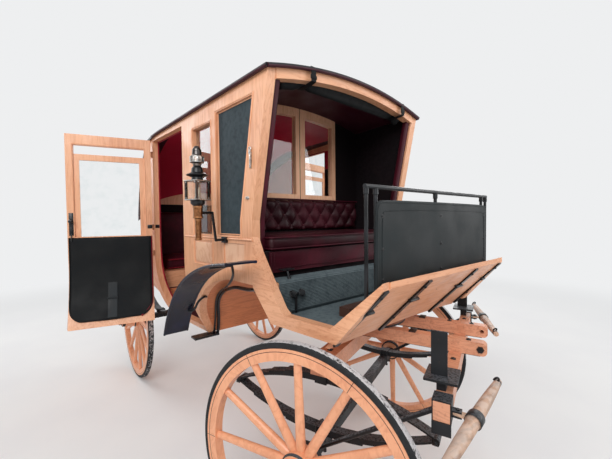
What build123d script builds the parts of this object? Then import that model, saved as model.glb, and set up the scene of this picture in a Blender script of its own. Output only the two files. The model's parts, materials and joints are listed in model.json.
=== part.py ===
from build123d import *
import os
from math import asin, cos, radians, sin, sqrt

os.makedirs("parts", exist_ok=True)

# Millimetres. +X is forward, +Y the coach's left, +Z up, z = 0 the ground.
# Stations along the coach are measured back from the front bow of the roof.

# Wheels and running gear
front_wheel_radius = 475.0
rear_wheel_radius = 510.0
front_wheel_out = 84.0        # the wheels' planes lie this far outside the body's front half width
rear_wheel_out = 92.0
wheelbase = 2098.0
kingpin_ahead = 14.0          # kingpin ahead of the front bow
steer_at_rest = 20.0          # the fore carriage stands turned to the left
front_spokes = 12
rear_spokes = 14
tyre_depth = 23.0
tyre_width = 38.0
tyre_edge = 9.0
felloe_depth = 46.0
felloe_width = 42.0
hub_length = 200.0
hub_radius = 66.0
hub_nose_radius = 46.0
hub_back = 80.0               # from the wheel's plane to the hub's inner end
dish = 18.0                   # the spokes' roots lie this far inside the rim's plane
spoke_across = 34.0           # at the root, along the axle
spoke_round = 40.0            # and round the wheel
spoke_taper = 1.3
axle_arm_radius = 19.0
axle_fit = 0.4
axle_bar = 44.0
axle_nut_radius = 30.0

# Body: sides, roof and floor
bow_half_width = 570.0
side_taper = 4.0              # degrees, the body widens towards the doors
rear_overhang = 36.0          # the rear wall stands this far behind the rear axle
rear_widening = 30.0          # the rear wall is this much wider each side than the front bow
roof_crown_z = 2135.0
bow_rise = 75.12              # the roof's rise from the bow's ends to its crown
roof_skin = 16.0
roof_overhang = 14.0
bow_depth = 44.0
bow_width = 46.0
droop_length = 840.0          # the roof turns down over this length to the back
droop_radius = 1000.0
side_thickness = 45.0
panel_thickness = 14.0
panel_set_back = 5.0
turn_top_z = 1150.0           # the sides turn under below this height
turn_radius = 850.0
well_bottom_z = 650.0
rear_bottom_z = 850.0
floor_thickness = 22.0
wall_thickness = 25.0

# Stations of the side, back from the front bow
post_front = 134.0
post_width = 98.0
post_bend_z = 1400.0
post_lean_z = 2030.0          # above the bend the post leans forward to the bow
canvas_rear = 450.0
quarter_front = 512.0
quarter_rear = 729.0
door_front = 880.0
door_rear = 1400.0
hinge_pillar_rear = 1480.0

# Heights of the side
waist_z = 1325.0
canvas_top_z = 1965.0
canvas_corner = 12.0
canvas_set_back = 14.0
canvas_thickness = 8.0
quarter_top_z = 1932.0
door_top_z = 1988.0
arch_top_z = 1100.0
arch_start = 300.0
arch_radius = 625.0
arch_board = 20.0
panel_top_z = 1287.0
panel_bottom_z = 1158.0

# Doors
door_open = 108.0
door_gap = 6.0
door_sill_z = 706.0           # top of the rail under the door
door_thickness = 36.0
door_stile = 44.0
door_top_rail = 68.0
door_glass_z = 1300.0
sash_stile = 32.0
sash_rail = 40.0
sash_thickness = 16.0
sash_drop = 60.0              # the sash stands this far down from the top rail
door_pad_thickness = 14.0
door_pad_z = 748.0
door_pad_edge = 7.0           # of the leaf's frame shows round the pad
hinge_radius = 8.0
hinge_clear = 0.3             # between a knuckle and the face it turns against
hinge_length = 19.5
hinge_gap = 0.6
hinge_strap = 34.0
hinge_heights = (1165.0, 1357.0, 1890.0)
sash_fit = 0.5
soft_gap = 0.5
glass_thickness = 5.0

# Bulkhead with its two windows, behind the driver
bulkhead_back = 500.0
bulkhead_thickness = 28.0
bulkhead_frame_half = 320.0
bulkhead_frame_z = 1530.0
bulkhead_frame_rail = 34.0
bulkhead_frame_raise = 12.0
bulkhead_mullion = 78.0

# Board thickness of the seats, and the passengers' bench
board = 18.0
bench_front = 1500.0
bench_top_z = 1000.0
bench_gap = 25.0              # the bench ends this far inside the front half width
bench_depth = 440.0
bench_cushion_height = 105.0
bench_back_thickness = 90.0
bench_back_height = 500.0

# Curtain rolled up under the front bow
curtain_gap = 100.0           # from the front half width in to the curtain's end
curtain_depth = 130.0
curtain_thickness = 60.0

# Driver's place
sill_narrowing = 70.0         # the sills come in by this much to the dash
sill_front = -534.0           # ahead of the bow
sill_thickness = 40.0
sill_knee = 125.0             # along the sill from the post to where it levels out
sill_toe = 480.0
sill_below = 22.0
sill_above = 30.0
foot_floor_z = 970.0
foot_floor_front = -318.0
foot_floor_rear = 20.0
toe_top_z = 1195.0
apron_drop = 52.0             # the toe board's lip hangs this far below the floor
apron_rise = 34.0             # and rises by this to the middle
apron_depth = 20.0
footrest_y = -205.0
footrest_length = 230.0
seat_gap = 52.0               # from the front half width in to the seat's end
seat_top_z = 1330.0
seat_cushion_height = 78.0
seat_front = 112.0
back_pad_top_z = 1530.0
back_pad_thickness = 58.0

# Dash
dash_gap = 50.0               # from the sills' outer faces in to the panel's edge
dash_inner_gap = 65.0         # to the inner upright irons
dash_post_gap = 14.0          # and to the outer ones
dash_ahead = 468.0            # ahead of the bow
dash_top_z = 1460.0
dash_rail_z = 1510.0
dash_thickness = 12.0
iron_radius = 7.0

# Fore carriage, heights above the ground
spring_half_length = 450.0
spring_gap = 120.0            # the springs stand this far inside the front half width
spring_width = 44.0
leaf = 7.0
leaf_count = 4
bolster_bottom_z = 750.0
bolster_top_z = 825.0
futchell_top_z = 880.0
bolster_end = 30.0            # the bolster's ends stand this far outside the springs
bolster_width = 90.0
spring_eye = 13.0
spring_band = 54.0
leaf_step = 0.2               # each leaf is this much shorter than the last, as a share
ring_radius = 215.0
ring_width = 34.0
ring_height = 10.0
ring_gap = 0.5
kingpin_radius = 14.0
kingpin_fit = 1.0
bed_bottom_z = futchell_top_z + 2 * ring_height + ring_gap
futchell_half = 120.0
futchell_width = 46.0
futchell_front = 600.0
futchell_rear = 290.0
splinter_ahead = 480.0
splinter_half = 580.0
splinter_depth = 50.0
splinter_height = 62.0
splinter_cap = 60.0
stay_radius = 9.0
stay_out = 80.0               # the stays' rear ends, outside the springs
axle_shoulder = 2.0
kingpin_top_z = 940.0
splinter_cap_wall = 4.0
tread = (105.0, 120.0, 8.0)   # driver's step plate on the splinter bar
tread_side = 475.0
tread_z = 870.0
tread_side_plate = (52.0, 8.0, 150.0)  # upright plate along its outer side
clip_side = 560.0
clip_reach = 20.0
clip_plate = 5.0
clip_gap = 11.0
clip_pin = 6.0
clip_pin_fit = 0.4
bed_half = 330.0
bed_width = 120.0
bed_rail_side = 150.0
bed_rail_width = 50.0
bed_rail_height = 45.0
rear_spring_half = 400.0
rear_bar_height = 26.0

# Swingletrees
swing_length = 600.0
swing_radius = 20.0
swing_tip_radius = 12.0
swing_eye = 11.0
swing_offset = 48.0           # bar's distance ahead of its pivot
swing_turn = 12.5             # they hang with the outer end back by this at rest

# Fenders, steps and lamps
fender_gap = 70.0             # from the front half width out to the mudguard
fender_width = 135.0
fender_thickness = 9.0
# Points of the mudguard's upper face: distance back from the bow, height
fender_line = ((0, 1232), (180, 1208), (450, 1122), (560, 1061), (830, 730))
fender_iron = 8.0
fender_iron_back = 180.0
step_pad_z = 640.0
step_pad = (75.0, 165.0, 12.0)
step_back = 913.0
step_in = 160.0               # the entry step's inner edge, inside the front half width
# Points of the bent side irons: distance back from the bow, inwards from the front half width, height
step_iron_line = (
    (900, 158, 634), (828, 135, 795), (740, 103, 911), (655, 95, 970), (557, 80, 1003),
    (432, 60, 1034), (260, 42, 1052), (106, 20, 1100),
)
step_iron = 10.0
fender_iron_line = (
    (907, 133, 634), (818, 110, 800), (727, 80, 918), (572, 50, 1004), (332, -32, 1078),
    (233, -60, 1132), (193, -78, 1165), (180, -90, 1197),
)
fender_iron_slim = 6.0
fender_stay_line = ((734, 18, 936), (702, -28, 937), (716, -46, 912), (714, -62, 885), (741, -90, 868))
fender_stay = 7.0
lamp_tube_radius = 13.0
lamp_tube_z = 1310.0
lamp_foot_z = 1302.0           # the arm's foot on the waist rail
lamp_arm_z = 1438.0
lamp_arm_back = 370.0
lamp_arm_radius = 6.5
lamp_bowl_z = 1468.0
lamp_glass_z = (1500.0, 1580.0)
lamp_brim_z = 1612.0
lamp_top_z = 1745.0
lamp_back = 310.0
lamp_out = 190.0              # the lamp stands this far outside the front half width
lamp_size = 80.0
lamp_turn = 20.0
lamp_post_width = 8.0
lamp_pane = 2.0

# Sizes that follow the body's width and length
front_track = 2 * (bow_half_width + front_wheel_out)
rear_track = 2 * (bow_half_width + rear_wheel_out)
rear_half_width = bow_half_width + rear_widening
roof_radius = (bow_half_width**2 + bow_rise**2) / (2 * bow_rise)
body_length = wheelbase - kingpin_ahead + rear_overhang
droop_start = body_length - droop_length
bench_half = bow_half_width - bench_gap
curtain_half = bow_half_width - curtain_gap
sill_half_front = bow_half_width - sill_narrowing
seat_half = bow_half_width - seat_gap
dash_half = sill_half_front - dash_gap
dash_inner_half = sill_half_front - dash_inner_gap
dash_post_half = sill_half_front - dash_post_gap
spring_spread = bow_half_width - spring_gap
bolster_half = spring_spread + bolster_end
stay_side = spring_spread + stay_out
fender_inner = bow_half_width + fender_gap
fender_outer = fender_inner + fender_width
step_inner = bow_half_width - step_in
lamp_side = bow_half_width + lamp_out

# Derived places
hinge_out = hinge_radius + hinge_clear
clip_ahead = splinter_ahead + splinter_depth / 2 + clip_reach
tree_at_rest = radians(steer_at_rest - swing_turn)
clip_reach_x = clip_ahead * cos(radians(steer_at_rest)) + clip_side * sin(radians(steer_at_rest))
tree_reach_x = (swing_offset + swing_tip_radius) * cos(tree_at_rest) + swing_length / 2 * sin(tree_at_rest)
front_reach = kingpin_ahead + clip_reach_x + tree_reach_x
rear_reach = wheelbase - kingpin_ahead + rear_wheel_radius
bow_x = (rear_reach - front_reach) / 2
kingpin_x = bow_x + kingpin_ahead
rear_axle_x = kingpin_x - wheelbase
rear_x = bow_x - body_length
bulkhead_x = bow_x - bulkhead_back
axis_roof_z = roof_crown_z - roof_radius
droop_x = bow_x - droop_start
droop_z = roof_crown_z - droop_radius
taper = radians(side_taper)
arch_end = sqrt(arch_radius**2 - (well_bottom_z - arch_top_z + arch_radius) ** 2)
arch_rear = arch_start + arch_end
post_x = bow_x - post_front * cos(taper)
post_y = -bow_half_width - post_front * sin(taper)
sill_run = bow_x - sill_front - post_x
sill_turn = (-post_y - sill_half_front) / sill_run
sill_length = sqrt(sill_run**2 + (post_y + sill_half_front) ** 2)
sill_across = sill_thickness * sill_length / sill_run
seat_base_height = seat_top_z - seat_cushion_height - soft_gap - arch_top_z - arch_board
seat_cushion_depth = bulkhead_back - soft_gap - seat_front + 30
tall = 2400.0
wide = 900.0

# How a box or a round bar sits on the point that places it
standing = (Align.CENTER, Align.CENTER, Align.MIN)
hanging = (Align.CENTER, Align.CENTER, Align.MAX)
forward = (Align.MIN, Align.CENTER, Align.CENTER)
forward_up = (Align.MIN, Align.CENTER, Align.MIN)
forward_down = (Align.MIN, Align.CENTER, Align.MAX)
back_up = (Align.MAX, Align.CENTER, Align.MIN)

# Planes of the right side: one in the side's face, one across it
side_origin = (bow_x, -bow_half_width, 0)
side_back = (-cos(taper), -sin(taper), 0)
side_face = Plane(origin=side_origin, x_dir=side_back, z_dir=(-sin(taper), cos(taper), 0))
side_cross = Plane(origin=side_origin, x_dir=(sin(taper), -cos(taper), 0), z_dir=side_back)

# Planes of the right rear quarter, which turns in towards the back
quarter_x = bow_x - hinge_pillar_rear * cos(taper)
quarter_y = -bow_half_width - hinge_pillar_rear * sin(taper)
quarter_run = quarter_x - rear_x
quarter_side = quarter_y + rear_half_width
quarter_length = sqrt(quarter_run**2 + quarter_side**2)
back_cos = quarter_run / quarter_length
back_sin = -quarter_side / quarter_length
quarter_origin = (quarter_x, quarter_y, 0)
quarter_cross = Plane(origin=quarter_origin, x_dir=(-back_sin, -back_cos, 0), z_dir=(-back_cos, back_sin, 0))

# Plane of the right sill, which narrows towards the dash; its local x runs forward from the post
sill_face = Plane(origin=(post_x, post_y, 0), x_dir=(1, sill_turn, 0), z_dir=(sill_turn, -1, 0))

fore_place = Location((kingpin_x, 0, 0), (0, 0, steer_at_rest))


def turned_in(z, depth):
    """How far inside the side's face a face lies that is this deep in the wall, at height z"""
    drop = max(turn_top_z - z, 0)
    return turn_radius - sqrt((turn_radius - depth) ** 2 - drop**2)


def wall_outline(outer, inner, bottom=well_bottom_z, top=tall):
    """Section of the side between two depths, straight above and turned under below"""
    middle = (turn_top_z + bottom) / 2
    outer_foot = (-turned_in(bottom, outer), bottom)
    inner_foot = (-turned_in(bottom, inner), bottom)
    with BuildSketch() as outline:
        with BuildLine():
            Line((-outer, top), (-outer, turn_top_z))
            ThreePointArc((-outer, turn_top_z), (-turned_in(middle, outer), middle), outer_foot)
            Line(outer_foot, inner_foot)
            ThreePointArc(inner_foot, (-turned_in(middle, inner), middle), (-inner, turn_top_z))
            Line((-inner, turn_top_z), (-inner, top))
            Line((-inner, top), (-outer, top))
        make_face()
    return outline.sketch


def roof_outline(radius, bottom):
    """Section of the space below an arch of this radius about the roof's axis, down to a level"""
    side_z = axis_roof_z + sqrt(radius**2 - wide**2)
    with BuildSketch() as outline:
        with BuildLine():
            Line((-wide, bottom), (wide, bottom))
            Line((wide, bottom), (wide, side_z))
            ThreePointArc((wide, side_z), (0, axis_roof_z + radius), (-wide, side_z))
            Line((-wide, side_z), (-wide, bottom))
        make_face()
    return outline.sketch


def arched_space(radius):
    """Space below the roof: straight in front, turned down about a cross axis at the back"""
    with BuildPart() as space:
        with BuildSketch(Plane.YZ.offset(droop_x)):
            add(roof_outline(radius, 0))
        extrude(amount=bow_x - droop_x + 200)
        with BuildSketch(Plane.YZ.offset(droop_x)):
            add(roof_outline(radius, droop_z))
        revolve(axis=Axis((droop_x, 0, droop_z), (0, -1, 0)), revolution_arc=90)
        with Locations((droop_x, 0, 0)):
            Box(droop_radius, 2 * wide, droop_z, align=back_up)
    return space.part


def bulkhead_openings():
    """The two window openings of the bulkhead, arched with the roof at the top"""
    inner = bulkhead_mullion / 2
    outer = bulkhead_frame_half - bulkhead_frame_rail
    for side in (1, -1):
        with Locations((side * (inner + outer) / 2, bulkhead_frame_z + bulkhead_frame_rail)):
            Rectangle(outer - inner, tall, align=(Align.CENTER, Align.MIN))
    add(roof_outline(roof_radius - roof_skin - bulkhead_frame_rail - 18, 0), mode=Mode.INTERSECT)


def rod(start, end, radius):
    """Round iron between two points"""
    run = Vector(*end) - Vector(*start)
    with Locations(Plane(origin=start, z_dir=run).location):
        Cylinder(radius, run.length, align=standing)


def bent_rod(points, radius):
    """Round iron bent smoothly through these points"""
    with BuildLine() as run:
        Spline(*points)
    with BuildSketch(Plane(origin=run.line @ 0, z_dir=run.line % 0)) as round_section:
        Circle(radius)
    sweep(round_section.sketch, path=run.line)


def leaf_outline(centre_z, radius, half):
    """One leaf of a spring's lower half, thickened away from the centre of its arc"""
    upper = centre_z - sqrt(radius**2 - half**2)
    lower = centre_z - sqrt((radius + leaf) ** 2 - half**2)
    with BuildSketch() as outline:
        with BuildLine():
            ThreePointArc((-half, upper), (0, centre_z - radius), (half, upper))
            Line((half, upper), (half, lower))
            ThreePointArc((half, lower), (0, centre_z - radius - leaf), (-half, lower))
            Line((-half, lower), (-half, upper))
        make_face()
    return outline.sketch


def elliptic_spring(low_z, high_z, half):
    """Two stacks of curved leaves joined at their eyes, along X, about the origin"""
    middle = (low_z + high_z) / 2
    stack = leaf_count * leaf
    sag = middle - low_z - stack
    main_radius = (half**2 + sag**2) / (2 * sag)
    with BuildPart() as spring:
        with BuildSketch(Plane.XZ):
            for step in range(leaf_count):
                leaf_radius = main_radius + step * leaf
                add(leaf_outline(low_z + stack + main_radius, leaf_radius, half * (1 - leaf_step * step)))
        extrude(amount=spring_width / 2, both=True)
        with Locations((0, 0, low_z)):
            Box(spring_band, spring_width + 10, stack + 6, align=standing)
        mirror(about=Plane.XY.offset(middle))
        with Locations((half, 0, middle), (-half, 0, middle)):
            Cylinder(spring_eye, spring_width + 12, rotation=(90, 0, 0))
    return spring.part


def keep(name, piece, place=Location()):
    """Puts a finished piece in its place, labels it and writes it"""
    piece.part = piece.part.moved(place)
    piece.part.label = name
    export_step(piece.part, f"parts/{name}.step")


under_roof = arched_space(roof_radius - roof_skin)
over_roof = arched_space(roof_radius)

# Space outside the walls' inner faces, taken off what is fitted between them
with BuildPart() as outside_right:
    with BuildSketch(side_cross.offset(-100)):
        add(wall_outline(side_thickness, -600))
    extrude(amount=hinge_pillar_rear + 500)
    with BuildSketch(quarter_cross.offset(-400)):
        add(wall_outline(wall_thickness, -600))
    extrude(amount=quarter_length + 600)
with BuildPart() as outside_left:
    mirror(outside_right.part, about=Plane.XZ)

# Roof skin, in one arch from the bow to the turned-down back
with BuildPart() as roof_shell:
    with BuildSketch(Plane.XY):
        with BuildLine():
            Polyline(
                (bow_x + roof_overhang, -bow_half_width - roof_overhang),
                (quarter_x, quarter_y - roof_overhang),
                (rear_x - roof_overhang, -rear_half_width - roof_overhang),
                (rear_x - roof_overhang, rear_half_width + roof_overhang),
                (quarter_x, -quarter_y + roof_overhang),
                (bow_x + roof_overhang, bow_half_width + roof_overhang),
                close=True,
            )
        make_face()
    extrude(amount=tall)
    add(over_roof, mode=Mode.INTERSECT)
    add(under_roof, mode=Mode.SUBTRACT)
keep("roof_skin", roof_shell)

# Front bow, under the skin between the front posts
with BuildPart() as front_bow:
    with BuildSketch(Plane.YZ.offset(bow_x)):
        add(roof_outline(roof_radius - roof_skin, 0))
    extrude(amount=-bow_width)
    with BuildSketch(Plane.YZ.offset(bow_x)):
        add(roof_outline(roof_radius - roof_skin - bow_depth, 0))
    extrude(amount=-bow_width, mode=Mode.SUBTRACT)
    add(outside_right.part, mode=Mode.SUBTRACT)
    add(outside_left.part, mode=Mode.SUBTRACT)
keep("front_bow", front_bow)


def arch_point(share, outset=0):
    """Point of the cut-under arch as station and height, from its top at 0 to its foot at 1"""
    radius = arch_radius + outset
    foot = asin((well_bottom_z - arch_top_z + arch_radius) / radius)
    angle = radians(90) - share * (radians(90) - foot)
    return (arch_start + radius * cos(angle), arch_top_z - arch_radius + radius * sin(angle))


def spot(station, z):
    """The same point on the coach's middle plane, whose local x runs forward"""
    return (bow_x - station * cos(taper), z)


def side_outline():
    """Outline of a whole side in its own face, from the front post to the hinge pillar"""
    with BuildSketch() as outline:
        with BuildLine():
            Line((0, tall), (0, post_lean_z))
            Line((0, post_lean_z), (post_front, post_bend_z))
            Line((post_front, post_bend_z), (post_front, arch_top_z))
            Line((post_front, arch_top_z), (arch_start, arch_top_z))
            ThreePointArc((arch_start, arch_top_z), arch_point(0.5), (arch_rear, well_bottom_z))
            Line((arch_rear, well_bottom_z), (hinge_pillar_rear, well_bottom_z))
            Line((hinge_pillar_rear, well_bottom_z), (hinge_pillar_rear, tall))
            Line((hinge_pillar_rear, tall), (0, tall))
        make_face()
    return outline.sketch


def canvas_outline():
    """Outline of the canvas panel's opening, between the leaning post and the quarter window"""
    lean = post_front * (post_lean_z - canvas_top_z) / (post_lean_z - post_bend_z)
    with BuildSketch() as outline:
        with BuildLine():
            Polyline(
                (canvas_rear, waist_z),
                (post_front + post_width, waist_z),
                (post_front + post_width, post_bend_z),
                (lean + post_width, canvas_top_z),
                (canvas_rear, canvas_top_z),
                close=True,
            )
        face = make_face()
        fillet(face.vertices(), radius=canvas_corner)
    return outline.sketch


def box_outline(start, end, low, high, mode=Mode.ADD):
    """Upright rectangle between two stations and two heights"""
    with Locations(((start + end) / 2, (low + high) / 2)):
        Rectangle(end - start, high - low, mode=mode)


def door_space(gap):
    """Space that the door fills, less a gap all round; its free edge is cut to the door's own swing"""
    hinge = side_face.from_local_coords((door_rear, 0, -hinge_out))
    low = door_sill_z + gap
    middle = (turn_top_z + low) / 2
    door_width = door_rear - door_front
    low_reach = sqrt(door_width**2 + (turned_in(low, 0) + hinge_out) ** 2) - gap
    middle_reach = sqrt(door_width**2 + (turned_in(middle, 0) + hinge_out) ** 2) - gap
    edge = door_width - gap
    with BuildPart() as space:
        with BuildSketch(Plane(origin=(hinge.X, hinge.Y, 0), x_dir=(1, 0, 0), z_dir=(0, -1, 0))):
            with BuildLine():
                Line((0, low), (low_reach, low))
                ThreePointArc((low_reach, low), (middle_reach, middle), (edge, turn_top_z))
                Line((edge, turn_top_z), (edge, door_top_z - gap))
                Line((edge, door_top_z - gap), (0, door_top_z - gap))
                Line((0, door_top_z - gap), (0, low))
            make_face()
        revolve(axis=Axis((hinge.X, hinge.Y, 0), (0, 0, 1)), revolution_arc=360)
        with Locations(side_face.location * Location((door_rear - gap, 0, 0))):
            Box(wide, 2 * tall, 2 * wide, align=(Align.MIN, Align.MIN, Align.CENTER), mode=Mode.SUBTRACT)
        with Locations(side_face.location * Location((door_rear - gap, 0, -hinge_out - 1))):
            Box(2 * wide, 2 * tall, wide, align=hanging, mode=Mode.SUBTRACT)
    return space.part


# Right side frame: posts, pillars, cantrail and rails round the openings
with BuildPart() as side_frame_right:
    with BuildSketch(side_cross):
        add(wall_outline(0, side_thickness))
    extrude(amount=hinge_pillar_rear)
    with BuildSketch(side_face):
        add(side_outline())
    extrude(amount=wide, both=True, mode=Mode.INTERSECT)
    with BuildSketch(side_face):
        add(canvas_outline())
        box_outline(quarter_front, quarter_rear, waist_z, quarter_top_z)
        box_outline(post_front + 66, canvas_rear - 62, panel_bottom_z, panel_top_z)
        box_outline(quarter_front, quarter_rear, panel_bottom_z, panel_top_z)
    extrude(amount=wide, both=True, mode=Mode.SUBTRACT)
    add(door_space(0), mode=Mode.SUBTRACT)
    add(under_roof, mode=Mode.INTERSECT)
    with Locations(side_face.location):
        for height in hinge_heights:
            knuckle_z = height - (hinge_length + hinge_gap) / 2
            with Locations((door_rear, knuckle_z, -hinge_out)):
                Cylinder(hinge_radius, hinge_length, rotation=(90, 0, 0))
            with Locations((door_rear + hinge_strap / 2, knuckle_z, -hinge_radius / 2)):
                Box(hinge_strap, hinge_length, hinge_radius)
keep("side_frame_right", side_frame_right)
with BuildPart() as side_frame_left:
    mirror(side_frame_right.part, about=Plane.XZ)
keep("side_frame_left", side_frame_left)

# Canvas panels of the driver's place, one in each side
with BuildPart() as canvas_panels:
    with BuildSketch(side_face.offset(canvas_set_back)):
        add(canvas_outline())
    extrude(amount=canvas_thickness)
    mirror(about=Plane.XZ)
keep("canvas_panels", canvas_panels)

# Thin lower panels below the waist rail
with BuildPart() as lower_panels:
    with BuildSketch(side_face.offset(panel_set_back)):
        box_outline(post_front + 66, canvas_rear - 62, panel_bottom_z, panel_top_z)
        box_outline(quarter_front, quarter_rear, panel_bottom_z, panel_top_z)
    extrude(amount=panel_thickness)
    mirror(about=Plane.XZ)
keep("lower_panels", lower_panels)

# Panes of the quarter windows and of the bulkhead
with BuildPart() as body_glass:
    with BuildSketch(side_face.offset(side_thickness / 2)):
        box_outline(quarter_front, quarter_rear, waist_z, quarter_top_z)
    extrude(amount=glass_thickness)
    mirror(about=Plane.XZ)
    with BuildSketch(Plane.YZ.offset(bulkhead_x - bulkhead_thickness / 2)):
        bulkhead_openings()
    extrude(amount=glass_thickness)
keep("body_glass", body_glass)

# Rear quarters and rear wall, turned under like the sides and cut to the turned-down roof
with BuildPart() as rear_panels:
    with BuildSketch(quarter_cross):
        add(wall_outline(0, wall_thickness, rear_bottom_z))
    extrude(amount=quarter_length + 60)
    with BuildSketch(Plane.XZ):
        with BuildLine():
            Polyline(
                (quarter_x + 60, rear_bottom_z),
                (rear_x, rear_bottom_z),
                (rear_x, tall),
                (quarter_x + 60, tall),
                close=True,
            )
        make_face()
    extrude(amount=wide, both=True, mode=Mode.INTERSECT)
    with Locations(side_cross.offset(hinge_pillar_rear).location):
        Box(2 * wide, 2 * tall, wide, align=hanging, mode=Mode.SUBTRACT)
    mirror(about=Plane.XZ)
    with Locations((rear_x, 0, rear_bottom_z)):
        Box(wall_thickness, 2 * rear_half_width - wall_thickness, tall, align=forward_up)
    add(under_roof, mode=Mode.INTERSECT)
keep("rear_panels", rear_panels)

# Floor over the cut-under arch, the sunken well between the doors and the raised floor behind it
with BuildPart() as cabin_floor:
    with BuildSketch(Plane.XZ):
        with BuildLine():
            Polyline(
                spot(arch_rear, well_bottom_z),
                spot(hinge_pillar_rear, well_bottom_z),
                spot(hinge_pillar_rear, rear_bottom_z),
                (rear_x + wall_thickness, rear_bottom_z),
                (rear_x + wall_thickness, rear_bottom_z + floor_thickness),
                spot(hinge_pillar_rear - floor_thickness, rear_bottom_z + floor_thickness),
                spot(hinge_pillar_rear - floor_thickness, well_bottom_z + floor_thickness),
                spot(arch_rear, well_bottom_z + floor_thickness),
                spot(arch_rear, well_bottom_z),
            )
        make_face()
        with BuildLine():
            Line(spot(post_front, arch_top_z), spot(arch_start, arch_top_z))
            ThreePointArc(spot(arch_start, arch_top_z), spot(*arch_point(0.5)), spot(*arch_point(1)))
            Line(spot(*arch_point(1)), spot(*arch_point(1, arch_board)))
            ThreePointArc(
                spot(*arch_point(1, arch_board)),
                spot(*arch_point(0.5, arch_board)),
                spot(arch_start, arch_top_z + arch_board),
            )
            Line(spot(arch_start, arch_top_z + arch_board), spot(post_front, arch_top_z + arch_board))
            Line(spot(post_front, arch_top_z + arch_board), spot(post_front, arch_top_z))
        make_face()
    extrude(amount=wide, both=True)
    add(outside_right.part, mode=Mode.SUBTRACT)
    add(outside_left.part, mode=Mode.SUBTRACT)
keep("cabin_floor", cabin_floor)

# Bulkhead behind the driver, with raised frames round its two windows
with BuildPart() as bulkhead:
    with Locations((bulkhead_x, 0, arch_top_z + arch_board)):
        Box(bulkhead_thickness, 2 * wide, tall, align=back_up)
    with Locations((bulkhead_x, 0, bulkhead_frame_z)):
        Box(bulkhead_frame_raise, 2 * bulkhead_frame_half, tall, align=forward_up)
    add(outside_right.part, mode=Mode.SUBTRACT)
    add(outside_left.part, mode=Mode.SUBTRACT)
    add(under_roof, mode=Mode.INTERSECT)
    with BuildSketch(Plane.YZ.offset(bulkhead_x)):
        bulkhead_openings()
    extrude(amount=wide / 2, both=True, mode=Mode.SUBTRACT)
keep("bulkhead", bulkhead)

# Passengers' bench at the back, with its soft seat and back
with BuildPart() as bench:
    with BuildSketch(Plane.XZ):
        with Locations(spot(bench_front, rear_bottom_z + floor_thickness)):
            Rectangle(board, bench_top_z - rear_bottom_z - floor_thickness, align=(Align.MAX, Align.MIN))
        with Locations(spot(bench_front, bench_top_z)):
            Rectangle(board, board, align=(Align.MAX, Align.MAX))
        with Locations((rear_x + wall_thickness, bench_top_z)):
            Rectangle(spot(bench_front, 0)[0] - rear_x - wall_thickness, board, align=(Align.MIN, Align.MAX))
    extrude(amount=wide, both=True)
    add(outside_right.part, mode=Mode.SUBTRACT)
    add(outside_left.part, mode=Mode.SUBTRACT)
keep("bench", bench)

bench_rear = rear_x + wall_thickness + soft_gap
with BuildPart() as bench_cushions:
    with Locations((bench_rear + bench_back_thickness + soft_gap, 0, bench_top_z + soft_gap)):
        Box(bench_depth, 2 * bench_half, bench_cushion_height, align=forward_up)
    with Locations((bench_rear, 0, bench_top_z + soft_gap)):
        Box(bench_back_thickness, 2 * bench_half, bench_back_height, align=forward_up)
keep("bench_cushions", bench_cushions)

# Sill boards along the driver's footwell, rising to the dash
with BuildPart() as side_sills:
    with BuildSketch(sill_face):
        with BuildLine():
            Polyline(
                (0, arch_top_z - 10),
                (sill_knee, foot_floor_z - sill_below),
                (sill_toe, foot_floor_z - sill_below),
                (sill_length, toe_top_z - 25),
                (sill_length, toe_top_z),
                (sill_toe - 25, foot_floor_z + sill_above),
                (sill_knee + 88, foot_floor_z + sill_above),
                (sill_knee + 62, foot_floor_z + sill_above + 20),
                (sill_knee - 22, toe_top_z - 50),
                (sill_knee - 90, waist_z - 75),
                (0, waist_z),
                close=True,
            )
        make_face()
    extrude(amount=-sill_thickness)
    add(side_frame_right.part, mode=Mode.SUBTRACT)
    mirror(about=Plane.XZ)
keep("side_sills", side_sills)

# Floor, riser and sloping toe board of the driver's place, between the sills;
# the toe board ends below the floor in a curved lip
toe_slope = (toe_top_z - foot_floor_z) / (foot_floor_front - sill_front)
apron_x = bow_x - foot_floor_front - apron_drop / toe_slope
apron_z = foot_floor_z - floor_thickness - apron_drop
with BuildPart() as driver_floor:
    with BuildSketch(Plane.XZ):
        with BuildLine():
            Polyline(
                (bow_x - sill_front, toe_top_z),
                (bow_x - foot_floor_front, foot_floor_z),
                (bow_x - foot_floor_rear, foot_floor_z),
                (bow_x - foot_floor_rear, arch_top_z + arch_board),
                spot(post_front, arch_top_z + arch_board),
                spot(post_front, arch_top_z),
                (bow_x - foot_floor_rear - floor_thickness, arch_top_z),
                (bow_x - foot_floor_rear - floor_thickness, foot_floor_z - floor_thickness),
                (bow_x - foot_floor_front - apron_depth, foot_floor_z - floor_thickness),
                (apron_x - apron_depth, apron_z),
                (apron_x, apron_z),
                (bow_x - sill_front, toe_top_z - floor_thickness),
                close=True,
            )
        make_face()
    extrude(amount=wide, both=True)
    with BuildSketch(Plane.YZ):
        with BuildLine():
            ThreePointArc((-bow_half_width, apron_z), (0, apron_z + apron_rise), (bow_half_width, apron_z))
            Line((bow_half_width, apron_z), (-bow_half_width, apron_z))
        make_face()
    extrude(amount=tall, mode=Mode.SUBTRACT)
    for side in (1, -1):
        with BuildSketch(Plane.XY):
            Polygon(
                (post_x - 100, side * (post_y - 100 * sill_turn + sill_across)),
                (bow_x + 700, side * (post_y + (bow_x + 700 - post_x) * sill_turn + sill_across)),
                (bow_x + 700, -side * wide * 2),
                (post_x - 100, -side * wide * 2),
                align=None,
            )
        extrude(amount=tall, mode=Mode.SUBTRACT)
    with Locations((bow_x + 195, footrest_y, foot_floor_z)):
        Box(60, footrest_length, 45, align=standing)
keep("driver_floor", driver_floor)

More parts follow.
